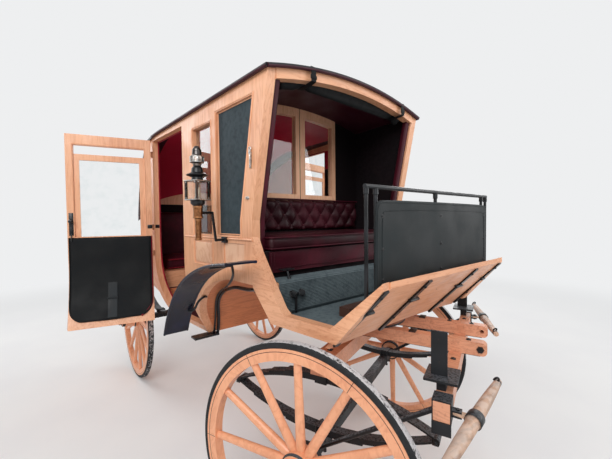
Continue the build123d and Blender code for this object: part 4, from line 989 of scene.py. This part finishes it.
class COACH_OT_driver_seat(bpy.types.Operator):
    """Buttoned back, padded seat and the hanging front of the driver's seat"""

    bl_idname = "coach.driver_seat"
    bl_label = "Driver's seat"

    def execute(self, context):
        low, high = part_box("seat_cushion")
        seat = make_cushion(
            "seat_pad", low, high, 0.022, "seat hide", crown=0.010, cap=0.009, replaces=("seat_cushion",),
        )
        seat["use"] = "driver's seat"
        piping = bmesh.new()
        inset = 0.007
        for z in (low.z + 0.012, high.z - 0.014):
            run = [
                (low.x + 0.02, low.y + inset), (high.x - 0.03, low.y + inset), (high.x - 0.004, low.y + 0.03)
            ]
            run += [(x, low.y + high.y - y) for x, y in reversed(run)]
            put(piping, tube(at_depth(run, z), 0.004))
        make_piece("seat_piping", piping, "burgundy")
        self.button_back(context.scene.coach_sizes)
        self.hang_front()
        return {"FINISHED"}

    def button_back(self, sizes):
        """Diamond tufts with a button in each corner, and the piping along the top"""
        low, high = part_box("seat_back")
        middle = (low + high) / 2
        width, height = high.y - low.y - 0.008, high.z - low.z - 0.006
        pitch, row, depth = sizes.button_pitch, sizes.row_pitch, sizes.tuft_depth
        part = bmesh.new()
        bmesh.ops.create_grid(part, x_segments=210, y_segments=44, size=0.5)
        for vertex in part.verts:
            side, up = vertex.co.x * width, vertex.co.y * height
            slants = (sin(pi * (side / pitch + slant * (up + row) / (2 * row))) for slant in (1, -1))
            puff = abs(next(slants) * next(slants)) ** 0.42
            edge = min(1.0, (width / 2 - abs(side)) / 0.030, (height / 2 - abs(up)) / 0.026)
            sag = 0.0015 * noise.noise(Vector((side * 9, up * 9, 3)))
            out = 0.012 + (0.018 + depth * puff + sag) * round_off(edge)
            vertex.co = Vector((low.x + out, middle.y + side, middle.z + up))
        for vertex in verts_of(bmesh.ops.extrude_edge_only(part, edges=rim_of(part))):
            vertex.co.x = low.x + 0.001
        bmesh.ops.holes_fill(part, edges=rim_of(part), sides=0)
        back = make_piece("buttoned_back", face_outward(part), "seat hide", angle=80, replaces=("seat_back",))

        buttons = bmesh.new()
        dome = [(0, 0.006), (0.006, 0.0045), (0.0085, 0.001), (0.008, -0.004), (0, -0.004)]
        count = int(width / pitch) + 1
        for line in (-1, 0, 1):
            for step in range(-count, count + 1):
                side = (step + (0.5 if line == 0 else 0.0)) * pitch
                if abs(side) <= width / 2 - 0.02:
                    place = low.x + 0.031, middle.y + side, middle.z + line * row
                    put(buttons, turned(dome, 12), aim(place, (1, 0, 0)))
        make_piece("back_buttons", buttons, "burgundy")
        x, z = high.x - 0.016, high.z - 0.002
        make_piece("back_piping", tube([(x, low.y + 0.006, z), (x, high.y - 0.006, z)], 0.005), "burgundy")

    def hang_front(self):
        """Cloth front below the seat, with a sewn border, and its piping"""
        low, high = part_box("seat_cushion")
        x, half = high.x - 0.018, high.y - 0.012
        top, foot = low.z - 0.002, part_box("seat_box")[0].z + 0.030
        part = bmesh.new()
        bmesh.ops.create_grid(part, x_segments=120, y_segments=20, size=0.5)
        for vertex in part.verts:
            y, share = vertex.co.x * 2 * half, 0.5 - vertex.co.y
            ripple = 0.0035 * share * sin(y * 17) + 0.002 * noise.noise(Vector((y * 6, share * 2, 1)))
            vertex.co = Vector((x - 0.004 + ripple + 0.004 * share, y, top + (foot - top) * share))
        face_outward(part)
        bmesh.ops.solidify(part, geom=part.faces, thickness=0.003)
        front = make_piece("seat_front_cloth", part, "burgundy", angle=80)
        border = bmesh.new()
        for inset, radius in ((0.004, 0.0035), (0.022, 0.0018)):
            run = [(x + 0.004, inset - half, top - 0.006), (x + 0.007, inset - half, foot + inset)]
            run += [(x, -y, z) for x, y, z in reversed(run)]
            put(border, tube(run, radius, straight=True))
        trim = make_piece("seat_front_piping", border, "burgundy")


class COACH_OT_driver_linings(bpy.types.Operator):
    """Linings of the driver's place and the ribbed mat in the footwell"""

    bl_idname = "coach.driver_linings"
    bl_label = "Driver's linings and mat"

    def execute(self, context):
        outline = [(0.049, 2.049), (0.175, 1.420), (0.175, 1.135), (0.4985, 1.135), (0.4985, 2.049)]
        walls = gather((board(outline, 0.004), side_place @ shift(z=inner_face)))
        make_piece("side_linings", walls, "lining", both=True)
        front = [
            (0.010, 2.020), (0.139, 1.402), (0.139, 1.262), (0.128, 1.190), (0.140, 1.100), (0.168, 1.045)
        ]
        back = [(x + 0.034, z) for x, z in reversed(front)]
        welt = board(front + back, 0.036, 0.009, 3)
        make_piece("post_welts", welt, "burgundy", side_place @ shift(z=0.046), both=True)
        self.lay_mat(context.scene.coach_sizes.rib_pitch)
        return {"FINISHED"}

    def lay_mat(self, pitch):
        """Mat from the seat's riser down, across the floor and up the toe board, each rib a small ridge"""
        floor_z, toe_x = 0.970, bow_x + 0.318
        bends = [
            (0.795, 1.1225), (0.8795, 1.1225), (0.8855, 1.1160), (0.8855, floor_z + 0.006), (0.8920, floor_z),
            (toe_x, floor_z), (toe_x + 0.142, floor_z + 0.1479),
        ]
        bends = [Vector((x, 0, z)) for x, z in bends]
        part = bmesh.new()
        chain = []
        for start, end in zip(bends, bends[1:]):
            run = end - start
            rise = Vector((-run.z, 0, run.x)).normalized()
            count = max(1, int(run.length / pitch))
            for step in range(count):
                for share, lift in ((0.0, 0.0), (0.25, 0.0022), (0.6, 0.0022), (0.85, 0.0)):
                    chain.append(part.verts.new(start + run * (step + share) / count + rise * (0.002 + lift)))
        edges = [part.edges.new(pair) for pair in zip(chain, chain[1:])]
        far = set(verts_of(bmesh.ops.extrude_edge_only(part, edges=edges)))
        for vertex in part.verts:
            reach = 0.533 - (vertex.co.x - 0.7645) * 0.1188
            vertex.co.y = reach if vertex in far else -reach
        face_outward(part)
        bmesh.ops.solidify(part, geom=part.faces, thickness=0.0015)
        mat = make_piece("foot_mat", part, "mat", angle=25)
        mat["use"] = "ribbed mat"


class COACH_OT_rolled_curtain(bpy.types.Operator):
    """Curtain rolled up under the front bow, with its two straps"""

    bl_idname = "coach.rolled_curtain"
    bl_label = "Rolled curtain"

    straps = -0.327, 0.394  # places across the bow

    def ceiling(self, y):
        """Height of the bow's underside"""
        crown, radius = 2.116, 2.184
        return crown - radius + sqrt(radius**2 - y * y)

    def execute(self, context):
        low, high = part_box("front_curtain")
        middle = (low.x + high.x) / 2
        around, steps = 28, 72
        part = bmesh.new()
        bmesh.ops.create_circle(part, cap_ends=False, radius=1, segments=around)
        ring, edges = list(part.verts), list(part.edges)
        for step in range(steps + 1):
            y = low.y + 0.004 + (high.y - low.y - 0.008) * step / steps
            sag = 0.062
            if abs(y - 0.033) < 0.36:
                sag = 0.056 + 0.026 * (1 - ((y - 0.033) / 0.36) ** 2)
            pull = min(1.0, *(abs(y - strap) / 0.05 for strap in self.straps))
            depth = (0.046 + (sag - 0.046) * pull) * (0.72 if step in (0, steps) else 1.0)
            if step:
                made = bmesh.ops.extrude_edge_only(part, edges=edges)
                fresh = set(verts_of(made))
                edges = [g for g in made["geom"] if isinstance(g, bmesh.types.BMEdge)]
                edges = [edge for edge in edges if fresh.issuperset(edge.verts)]
                ring = [next(e.other_vert(v) for e in v.link_edges if e.other_vert(v) in fresh) for v in ring]
            for index, vertex in enumerate(ring):
                angle = 2 * pi * index / around
                fold = 1 + 0.10 * sin(3 * angle + y * 3.1) + 0.07 * sin(5 * angle - y * 7.0)
                x = middle + 0.027 * cos(angle) * fold * (0.9 + 0.1 * pull)
                z = self.ceiling(y) - 0.004 - depth / 2 + (depth / 2 - 0.001) * sin(angle) * min(fold, 1.0)
                vertex.co = Vector((x, y, z))
        bmesh.ops.holes_fill(part, edges=rim_of(part), sides=0)
        face_outward(part)
        lengthwise = [e for e in part.edges if abs(e.verts[0].co.y - e.verts[1].co.y) > 0.01]
        bmesh.ops.subdivide_edges(part, edges=lengthwise, cuts=1, smooth=0.3)
        roll = make_piece("rolled_curtain", part, "curtain", angle=80, replaces=("front_curtain",))

        straps = bmesh.new()
        front = bow_x + 0.0175
        for y in self.straps:
            ceiling = self.ceiling(y)
            top = ceiling + 0.0165
            run = [
                (front - 0.03, top), (front - 0.002, top), (front, top - 0.004), (front, ceiling - 0.048),
                (front - 0.022, ceiling - 0.052), (high.x + 0.002, ceiling - 0.054), (middle, ceiling - 0.056),
                (low.x - 0.002, ceiling - 0.044), (low.x - 0.003, ceiling - 0.008),
            ]
            put(straps, strip([(x, y - 0.014, z) for x, z in run], 0.028, 0.0025))
            put(straps, block((0.006, 0.036, 0.018), (front + 0.002, y, ceiling - 0.03)))
        make_piece("curtain_straps", straps, "door hide", angle=50)
        return {"FINISHED"}


# ---------------------------------------------------------------- doors


class COACH_OT_doors(bpy.types.Operator):
    """Pads, piping, catches and pulls of the two doors"""

    bl_idname = "coach.doors"
    bl_label = "Doors"

    middle, half = 1.140, 0.2455  # of the pad, back from the bow
    foot, top, corner = 0.7495, 1.2950, 0.085

    def half_at(self, height):
        """Half width of the pad at a height: its lower corners are round"""
        share = min(1.0, (height - self.foot) / self.corner)
        return self.half - self.corner + self.corner * round_off(share)

    def pad(self):
        part = bmesh.new()
        bmesh.ops.create_grid(part, x_segments=56, y_segments=72, size=0.5)
        seam = 0.016
        for vertex in part.verts:
            share, rise = vertex.co.x * 2, vertex.co.y + 0.5
            height = self.foot + (self.top - self.foot) * (rise**1.15)
            half = self.half_at(height)
            back = self.middle + share * half
            gaps = half - abs(share) * half, height - self.foot, self.top - height
            edge = min(1.0, *(gap / seam for gap in gaps))
            dent = 0.0012 * noise.noise(Vector((back * 7, height * 7, 5))) if edge == 1 else 0
            vertex.co = Vector((back, height, turned_in(height, 0.0375 + 0.0120 * round_off(edge) + dent)))
        for vertex in verts_of(bmesh.ops.extrude_face_region(part, geom=part.faces[:], use_keep_orig=True)):
            vertex.co.z = turned_in(vertex.co.y, 0.0368)
        return face_outward(part)

    def outline(self, inset, depth, ends, steps=10):
        """Points just inside the pad's edge, down from an upper corner, and up again at the other end"""
        levels = [self.top - (self.top - self.foot - inset) * k / steps for k in range(steps + 1)]
        points = []
        for end in ends:
            points += [(self.middle + end * (self.half_at(height) - inset), height) for height in levels]
            levels.reverse()
        return along_side(points, depth)

    def edge_piping(self):
        return tube(self.outline(0.003, 0.0465, (1, -1)), 0.0035)

    def hinge_band(self):
        return tube(self.outline(0.001, 0.043, (1,)), 0.0058)

    def pull(self):
        """Strap down the middle of the pad, with its keeper"""
        width = 0.054
        run = [(self.middle - width / 2, height) for height in (0.985, 0.94, 0.90, 0.86, 0.82, 0.765)]
        keeper = block((0.064, 0.014, 0.006), (self.middle, 0.885, turned_in(0.885, 0.057)))
        return gather(strip(along_side(run, 0.0528), width, -0.003, axis=0), keeper)

    def catch(self):
        """Latch on the free stile: plate, knob and the end of its bolt; strap plate on the other stile"""
        back, inward = 0.911, (0, 0, 1)
        knob = turned(
            [(0, 0.034), (0.010, 0.031), (0.014, 0.022), (0.009, 0.012), (0.005, 0.008), (0.006, 0.0)], 18
        )
        return gather(
            block((0.026, 0.150, 0.004), (back, 1.385, 0.0375), 0.0015),
            (knob, aim((back, 1.405, 0.039), inward)),
            block((0.010, 0.046, 0.008), (back, 1.345, 0.042)),
            tube([(back, 1.322, 0.044), (back, 1.300, 0.052), (0.913, 1.272, 0.056)], 0.0035),
            block((0.030, 0.026, 0.005), (1.3780, 1.362, 0.0385), 0.0015),
            *(bolt((x, 1.362, 0.041), inward, 0.0030, 0.003) for x in (1.368, 1.386)),
        )

    def outer_handle(self):
        rose = turned([(0, 0.004), (0.018, 0.003), (0.020, 0.0), (0, 0)], 22)
        lever = [
            (0.922, 1.275, -0.002), (0.922, 1.275, -0.020), (0.934, 1.275, -0.027), (0.980, 1.271, -0.025)
        ]
        return gather((rose, aim((0.922, 1.275, 0), (0, 0, -1))), tube(lever, 0.0055))

    def beads(self):
        """Mouldings round the window on both faces of the leaf, and round the lower panel outside"""
        part = bmesh.new()
        for depth in (0.0005, 0.0355):
            loop = corners(0.925, 1.355, 1.296, 1.919)
            put(part, tube(at_depth(loop, depth), 0.0035, True, True))
        levels = [0.80, 0.95, 1.10, 1.262]
        loop = [(0.930, height) for height in levels] + [(1.350, height) for height in reversed(levels)]
        return put(part, tube(along_side(loop, 0.0008), 0.004, True, True))

    def execute(self, context):
        for name, build, finish, angle in (
            ("door_trim", self.pad, "door hide", 70),
            ("door_piping", self.edge_piping, "door hide", 40),
            ("door_red_edge", self.hinge_band, "crimson piping", 40),
            ("door_pull", self.pull, "strap hide", 40),
            ("door_catch", self.catch, "clean iron", 40),
            ("door_handle", self.outer_handle, "brass", 40),
            ("door_beads", self.beads, "upright wood", 40),
        ):
            for hand, turn in (("right", upright), ("left", across)):
                part = gather((build(), turn @ door_place @ side_place))
                made = make_piece(f"{name}_{hand}", part, finish, body=f"door_{hand}", angle=angle)
                if name == "door_trim":
                    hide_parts(f"door_pad_{hand}")
        return {"FINISHED"}


# ---------------------------------------------------------------- body


class COACH_OT_mouldings(bpy.types.Operator):
    """Beads, raised panels, roof welts and the red edge of the door openings"""

    bl_idname = "coach.mouldings"
    bl_label = "Mouldings"

    def execute(self, context):
        bead = context.scene.coach_sizes.bead
        part = bmesh.new()
        for depth, radius, loop in (
            (0.0005, bead, [(0.227, 1.318), (0.457, 1.318), (0.457, 1.972), (0.108, 1.972), (0.225, 1.402)]),
            (0.0005, bead, corners(0.505, 0.736, 1.318, 1.939)),
            (0.0005, bead, corners(0.505, 0.736, 1.151, 1.294)),
            (
                0.013, bead * 0.9,
                [(0.237, 1.330), (0.445, 1.330), (0.445, 1.960), (0.122, 1.960), (0.237, 1.404)],
            ),
        ):
            put(part, tube(at_depth(loop, depth), radius, True, True))
        for start, end in ((0.128, 0.865), (1.415, 1.476)):
            put(part, tube([(start, 1.308, -0.0005), (end, 1.308, -0.0005)], bead * 1.3, straight=True))
        make_piece("side_beads", part, "upright wood", side_place, both=True)

        field = board(corners(0.520, 0.721, 1.166, 1.279), -0.006)
        top = [f for f in field.faces if f.calc_center_median().z < -0.005]
        bmesh.ops.inset_region(field, faces=top, thickness=0.016, depth=0.003)
        fields = face_outward(gather((field, shift(z=0.006))))
        make_piece("panel_fields", fields, "panel wood", side_place, both=True, angle=20)

        red = bmesh.new()
        for run in (
            [(0.8795, 1.985), (0.8795, 1.55), (0.8795, 1.15), (0.8835, 1.0), (0.884, 0.86), (0.884, 0.725)],
            [(1.4005, 1.985), (1.4005, 1.55), (1.4005, 1.15), (1.3975, 1.0), (1.397, 0.86), (1.397, 0.725)],
            [(0.882, 1.986), (1.398, 1.986)],
        ):
            put(red, tube(along_side(run, 0.043), 0.0055, sides=3))
        make_piece("door_opening_edges", red, "crimson piping", side_place, both=True)

        self.roof_edges()
        self.front_hardware()
        return {"FINISHED"}

    def roof_edges(self):
        """Rounded welts along the roof's front edge and both sides"""
        radius, crown, droop_x = 2.200, 2.135, bow_x - 1.280

        def roof_z(y):
            return crown - radius + sqrt(radius**2 - y * y)

        arc = [(-0.578 + 1.156 * k / 24) for k in range(25)]
        part = gather(tube([(bow_x + 0.013, y, roof_z(y) - 0.0105) for y in arc], 0.010))
        side_run = []
        for k in range(13):
            x = bow_x + 0.012 - k * 0.115
            y = -(half_width + 0.012 + (bow_x - x) * sin(taper) / cos(taper))
            drop = 1.0 - sqrt(1.0 - (droop_x - x) ** 2) if x < droop_x else 0.0
            side_run.append((x, y, roof_z(y) - 0.008 - drop))
        for turn in (upright, across):
            put(part, tube(side_run, 0.009), turn)
        make_piece("roof_welts", part, "roof hide")

    def front_hardware(self):
        """Catch rod and knobs outside on the leaning front post, and the door straps' plates on the jambs"""
        ring = [(0.131 + 0.009 * cos(t), 1.722 + 0.011 * sin(t), -0.007) for t in (0, 1.26, 2.51, 3.77, 5.03)]
        part = gather(block((0.011, 0.072, 0.009), (0.129, 1.672, -0.0055)), tube(ring, 0.0028, True))
        for profile, place in (
            (
                [(0, 0.011), (0.006, 0.010), (0.008, 0.006), (0.005, 0.002), (0.006, 0), (0, 0)],
                (0.133, 1.706, -0.001),
            ),
            (
                [(0, 0.013), (0.007, 0.012), (0.009, 0.007), (0.005, 0.002), (0.007, 0), (0, 0)],
                (0.158, 1.503, 0.0),
            ),
        ):
            put(part, turned(profile, 16), aim(place, (0, 0, -1)))
        make_piece("post_catches", part, "nickel", side_place, both=True)
        plate = block((0.003, 0.026, 0.030), (1.4012, 1.362, 0.022), 0.001)
        make_piece("jamb_plates", plate, "clean iron", side_place, both=True)


class COACH_OT_cabin(bpy.types.Operator):
    """Padded bench, its back, and the crimson linings of the cabin, near black below 1.83 m as painted shade"""

    bl_idname = "coach.cabin"
    bl_label = "Cabin"

    def execute(self, context):
        low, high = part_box("bench_cushions")
        split = low.x + 0.0905
        seat_low, seat_high = Vector((split, low.y, low.z)), Vector((high.x, high.y, low.z + 0.105))
        for name, start, end, crown, cap in (
            ("bench_seat", seat_low, seat_high, 0.014, 0.012),
            ("bench_back", low, Vector((split, high.y, high.z)), 0.008, 0.010),
        ):
            made = make_cushion(
                name, start, end, 0.026, "burgundy", crown=crown, cap=cap, voxel=0.012,
                replaces=("bench_cushions",),
            )
            made["use"] = name.replace("_", " ")
        piping = bmesh.new()
        x = seat_high.x - 0.003
        for z in (seat_low.z + 0.014, seat_high.z - 0.022):
            put(piping, tube([(x, seat_low.y + 0.02, z), (x, seat_high.y - 0.02, z)], 0.004))
        make_piece("bench_piping", piping, "crimson piping")

        # below 1.83 m these linings carry the cabin cloth's painted shade, crimson only above it
        walls = bmesh.new()
        for outline in (
            [(0.532, 1.335), (0.532, 1.13), (0.875, 1.13), (0.875, 1.985), (0.735, 1.985), (0.735, 1.335)],
            corners(0.532, 0.735, 1.936, 1.985),
        ):
            put(walls, board(outline, 0.004), side_place @ shift(z=inner_face))
        make_piece("cabin_linings", walls, "cabin cloth", both=True)
        # the rear lining lies wholly below 1.83 m, so it is all painted shade
        make_piece(
            "rear_lining", block((0.004, 1.06, 0.150), (rear_x + 0.029, 0, 1.485), 0.001), "cabin cloth"
        )
        return {"FINISHED"}


class COACH_OT_lamps(bpy.types.Operator):
    """Candle, bright frame, collars and pierced crown of each side lamp"""

    bl_idname = "coach.lamps"
    bl_label = "Side lamps"

    def execute(self, context):
        place = shift(bow_x - 0.310, -0.760) @ Matrix.Rotation(radians(20), 4, "Z")
        brass = bmesh.new()
        for height, radius in ((1.3150, 0.0155), (1.4045, 0.0155), (1.4150, 0.0235), (1.4640, 0.0235)):
            ring = [(radius - 0.004, -0.004), (radius, -0.003), (radius, 0.003), (radius - 0.004, 0.004)]
            put(brass, turned(ring, 24), shift(z=height))
        make_piece("lamp_collars", brass, "brass", place, both=True)

        bright = bmesh.new()
        half = 0.0405
        for height in (1.4970, 1.5830):
            put(bright, tube(at_depth(corners(-half, half, -half, half), height), 0.0028, True, True))
        for side in range(4):
            turn = Matrix.Rotation(side * pi / 2, 4, "Z")
            for x in (-0.0295, 0.0295):
                for height in (1.5045, 1.5755):
                    screw = turned([(0, 0.0030), (0.0030, 0.0022), (0.0034, 0), (0, 0)], 10)
                    put(bright, screw, turn @ aim((x, -0.0398, height), (0, -1, 0)))
        prongs = 10
        for k in range(prongs):
            prong = block((0.003, 0.0065, 0.020), (0.0308, 0, 1.6810), 0.0010)
            put(bright, prong, Matrix.Rotation(2 * pi * k / prongs, 4, "Z"))
        for height in (1.6695, 1.6925):
            ring = [(0.029, -0.0022), (0.0325, -0.0014), (0.0325, 0.0014), (0.029, 0.0022)]
            put(bright, turned(ring, 24), shift(z=height))
        make_piece("lamp_frames", bright, "nickel", place, both=True)

        candle = turned(
            [(0, 1.5520), (0.0085, 1.5520), (0.0100, 1.5490), (0.0105, 1.5005), (0.0, 1.5005)], 20
        )
        wick = tube([(0, 0, 1.551), (0.001, 0, 1.558), (0.0, 0.001, 1.563)], 0.0009)
        make_piece("lamp_candles", gather(candle, wick), "wax", place, both=True)
        return {"FINISHED"}


class COACH_OT_dash(bpy.types.Operator):
    """Sewn border, bolts and collars of the dash"""

    bl_idname = "coach.dash"
    bl_label = "Dash"

    def execute(self, context):
        low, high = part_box("dash_panel")
        x, foot, top = low.x + 0.006, low.z + 0.008, high.z
        stitch = [(-0.425, foot + 0.01), (-0.425, top - 0.045), (-0.405, top - 0.028)]
        border = [(-0.4490, foot), (-0.4490, top - 0.034), (-0.437, top - 0.008), (-0.416, top)]
        seam = bmesh.new()
        for off, half_run, radius in (
            (0.0062, stitch, 0.0016), (-0.0062, stitch, 0.0016), (0, border, 0.0072)
        ):
            run = half_run + [(-y, z) for y, z in reversed(half_run)]
            put(seam, tube([(x + off, y, z) for y, z in run], radius))
        make_piece("dash_border", seam, "dash hide")

        irons = bmesh.new()
        for y in (-0.435, -0.030, 0.435):
            for z in (foot + 0.06, (foot + top) / 2, top - 0.05):
                put(irons, bolt((x + 0.006, y + (0.014 if y < 0 else -0.014), z), (1, 0, 0), 0.0045, 0.004))
        for y in (-0.486, -0.435, -0.030, 0.435, 0.486):
            collar = turned([(0.0065, -0.012), (0.0095, -0.010), (0.0095, 0.010), (0.0065, 0.012)], 16)
            put(irons, collar, shift(x - 0.013, y, 1.494))
        make_piece("dash_irons", irons, "clean iron")
        return {"FINISHED"}


class COACH_OT_under_irons(bpy.types.Operator):
    """Irons of the footwell: straps with lugs under the toe board, and the driver's pedals"""

    bl_idname = "coach.under_irons"
    bl_label = "Footwell irons"

    def execute(self, context):
        part = bmesh.new()
        lean = Matrix.Rotation(radians(-46.2), 4, "Y")
        for y in (-0.478, -0.205, 0.205, 0.478):
            run = [(1.196, 0.922), (1.214, 0.9435), (1.300, 1.0335), (1.405, 1.1435), (1.428, 1.1675)]
            put(part, strip([(x, y - 0.013, z) for x, z in run], 0.026, 0.009), shift(0.0045, 0, -0.0045))
            lug = block((0.010, 0.066 if abs(y) < 0.3 else 0.040, 0.016), edge=0.003)
            put(part, lug, shift(1.352, y + (0.012 if y < 0 else -0.012), 1.079) @ lean)
            for x, z in ((1.262, 0.9937), (1.340, 1.0753), (1.405, 1.1435)):
                put(part, bolt((x + 0.003, y, z - 0.004), (0.72, 0, -0.69)))
        make_piece("toe_irons", part, "clean iron")

        y, stem = -0.440, -0.434
        grip = turned([(0, 0.0), (0.0085, 0.004), (0.0100, 0.03), (0.0080, 0.066), (0, 0.070)], 16)
        pedals = gather(
            block((0.036, 0.070, 0.006), (0.838, y, 1.168), 0.0015),
            tube([(0.842, y, 1.166), (0.850, y, 1.150), (0.858, y, 1.120)], 0.005),
            (grip, aim((0.856, y, 1.140), (0.20, 0, -1))),
            tube([(0.906, -0.460, 1.064), (0.902, stem, 1.062), (0.906, -0.408, 1.064)], 0.006),
            tube([(0.902, stem, 1.062), (0.900, stem, 1.030), (0.900, stem, 0.976)], 0.006),
        )
        for y in (-0.460, -0.408):
            tread = turned([(0, 0.007), (0.015, 0.006), (0.019, 0.0), (0.015, -0.004), (0, -0.005)], 20)
            put(pedals, tread, aim((0.912, y, 1.066), (0.9, 0, 0.45)))
        make_piece("pedals", pedals, "clean iron")
        return {"FINISHED"}


# ---------------------------------------------------------------- running gear


def clip_spring(part, side, axle_x, foot, top, bolt_x, bolt_z):
    """Clips that hold a spring on its axle, and the bolts through its two ends"""
    y = spring_y * side
    for x in (axle_x - 0.020, axle_x + 0.020):
        legs = [(x, y - 0.030, foot), (x, y - 0.030, top), (x, y + 0.030, top), (x, y + 0.030, foot)]
        put(part, tube(legs, 0.0045, straight=True))
    for x in (axle_x - bolt_x, axle_x + bolt_x):
        for way in (-1, 1):
            put(part, bolt((x, y + 0.030 * way, bolt_z), (0, way, 0), 0.008))


class COACH_OT_fore_carriage(bpy.types.Operator):
    """Clips, bolts, straps, hooks and rings of the fore carriage and its swingletrees"""

    bl_idname = "coach.fore_carriage"
    bl_label = "Fore carriage"

    def execute(self, context):
        part = bmesh.new()
        for side in (-1, 1):
            clip_spring(part, side, 0.0, 0.452, 0.528, 0.4488, 0.6235)
            for x in (-0.020, 0.020):
                for y in (spring_y * side - 0.030, spring_y * side + 0.030):
                    nut = turned([(0, -0.010), (0.008, -0.010), (0.008, 0.0), (0, 0)], 6)
                    put(part, nut, shift(x, y, 0.450))
            beam = 0.120 * side
            put(part, block((0.030, 0.052, 0.004), (0.300, beam, 0.8825), 0.001))
            for x in (0.150, 0.300, 0.430, 0.530):
                put(part, bolt((x, beam, 0.8805), (0, 0, 1)))
            put(part, block((0.580, 0.030, 0.005), (0.285, beam, 0.8225), 0.001))
            nut = turned([(0, 0.010), (0.013, 0.008), (0.015, 0), (0, 0)], 6)
            put(part, nut, aim((0.575, 0.1445 * side, 0.8525), (0, side, 0)))
        for y in (-0.38, -0.22, 0.22, 0.38):
            put(part, bolt((0.0, y, 0.8255), (0, 0, 1), 0.008, 0.007))
            put(part, bolt((0.480, y, 0.8255), (0, 0, 1)))
        make_piece("fore_bolts", part, "clean iron", fore_place, body="fore_carriage")

        ends = bmesh.new()
        for side in (-1, 1):
            y = 0.560 * side
            ring = [(0.478 + 0.019 * cos(t), y, 0.731 + 0.019 * sin(t)) for t in (0.79, 2.36, 3.93, 5.50)]
            put(ends, tube(ring, 0.0045, True, True))
            put(ends, block((0.058, 0.004, 0.040), (0.480, y + 0.022 * side, 0.742), 0.001))
        make_piece("splinter_fittings", ends, "iron", fore_place, body="fore_carriage")

        for hand, side in (("right", -1), ("left", 1)):
            name = f"swingletree_{hand}"
            turn = Matrix.Rotation(radians(20 + side * 12.5), 4, "Z")
            place = Matrix.Translation(joints[name]["pos_m"]) @ turn
            tree = bmesh.new()
            for y in (-0.278, 0.278):
                band = turned([(0.0120, -0.014), (0.0132, -0.012), (0.0132, 0.012), (0.0120, 0.014)], 20)
                hook = [(0.038, 0.012), (0.044, 0.022), (0.053, 0.025), (0.056, 0.017), (0.051, 0.012)]
                put(tree, band, aim((0.048, y, 0), (0, 1, 0)))
                put(tree, tube([(x, y, z) for x, z in hook], 0.0036))
            band = turned([(0.0226, -0.020), (0.0250, -0.017), (0.0250, 0.017), (0.0226, 0.020)], 24)
            put(tree, band, aim((0.048, 0, 0), (0, 1, 0)))
            make_piece(f"swingletree_irons_{hand}", tree, "iron", place, body=name)
        return {"FINISHED"}


class COACH_OT_wheels(bpy.types.Operator):
    """Bands round the naves and the caps on their ends"""

    bl_idname = "coach.wheels"
    bl_label = "Wheels"

    def execute(self, context):
        for name in wheels:
            joint = joints[name]
            bands = bmesh.new()
            for low, high, radius, wall, cone in (
                (-0.078, -0.050, 0.0585, 0.004, 0.0),
                (0.014, 0.034, 0.0655, 0.003, 0.010),
                (0.094, 0.119, 0.0465, 0.003, 0.0),
            ):
                top = radius + wall
                inner = radius - 0.002
                ring = [(inner, low), (top, low + 0.002), (top - cone, high - 0.002), (inner - cone, high)]
                put(bands, turned(ring, 40))
            cap = [(0.020, 0.118), (0.036, 0.119), (0.036, 0.124), (0.031, 0.128), (0.031, 0.140)]
            put(bands, turned(cap + [(0.026, 0.146), (0.0, 0.147)], 32))
            outward = Vector(joint["axis"]) * (-1 if "right" in name else 1)
            place = aim(joint["pos_m"], outward)
            make_piece(name.replace("wheel", "nave_bands"), bands, "iron", place, body=name)
        return {"FINISHED"}


class COACH_OT_rear_gear(bpy.types.Operator):
    """Clips and bolts of the rear springs and axle, and the rims of the mudguards"""

    bl_idname = "coach.rear_gear"
    bl_label = "Rear gear and mudguard rims"

    def execute(self, context):
        part = bmesh.new()
        for side in (-1, 1):
            clip_spring(part, side, joints["rear_wheel_right"]["pos_m"][0], 0.486, 0.563, 0.4, 0.678)
        make_piece("rear_bolts", part, "iron")

        rims = bmesh.new()
        upper = [
            (0, 1.232), (0.06, 1.2262), (0.12, 1.2185), (0.18, 1.208), (0.27, 1.187), (0.36, 1.158),
            (0.45, 1.122), (0.52, 1.085), (0.60, 1.030), (0.68, 0.957), (0.76, 0.857), (0.80, 0.793), (0.83, 0.730),
        ]
        for y in (-0.6405, -0.7745):
            put(rims, tube([(bow_x - b, y, z - 0.0045) for b, z in upper], 0.0065))
        make_piece("mudguard_rims", rims, "fender hide", both=True)
        return {"FINISHED"}


# ---------------------------------------------------------------- panel and registration

OPERATORS = (
    COACH_OT_stage,
    COACH_OT_finishes,
    COACH_OT_driver_seat,
    COACH_OT_driver_linings,
    COACH_OT_rolled_curtain,
    COACH_OT_doors,
    COACH_OT_mouldings,
    COACH_OT_cabin,
    COACH_OT_lamps,
    COACH_OT_dash,
    COACH_OT_under_irons,
    COACH_OT_fore_carriage,
    COACH_OT_wheels,
    COACH_OT_rear_gear,
)


class COACH_PT_panel(bpy.types.Panel):
    """Lists the coach's settings and operators"""

    bl_idname = "COACH_PT_panel"
    bl_label = "Light Coach"
    bl_space_type = "VIEW_3D"
    bl_region_type = "UI"
    bl_category = "Light Coach"

    def draw(self, context):
        for group in (context.scene.coach_colours, context.scene.coach_sizes):
            for name in group.bl_rna.properties.keys():
                if name not in ("rna_type", "name"):
                    self.layout.prop(group, name)
        for operator in OPERATORS:
            self.layout.operator(operator.bl_idname)


CLASSES = (CoachColours, CoachSizes, *OPERATORS, COACH_PT_panel)


def register():
    for item in CLASSES:
        bpy.utils.register_class(item)
    bpy.types.Scene.coach_colours = bpy.props.PointerProperty(type=CoachColours)
    bpy.types.Scene.coach_sizes = bpy.props.PointerProperty(type=CoachSizes)


def unregister():
    del bpy.types.Scene.coach_sizes
    del bpy.types.Scene.coach_colours
    for item in reversed(CLASSES):
        bpy.utils.unregister_class(item)


def main():
    register()
    for operator in OPERATORS:
        group, name = operator.bl_idname.split(".")
        getattr(getattr(bpy.ops, group), name)()


if __name__ == "__main__":
    main()
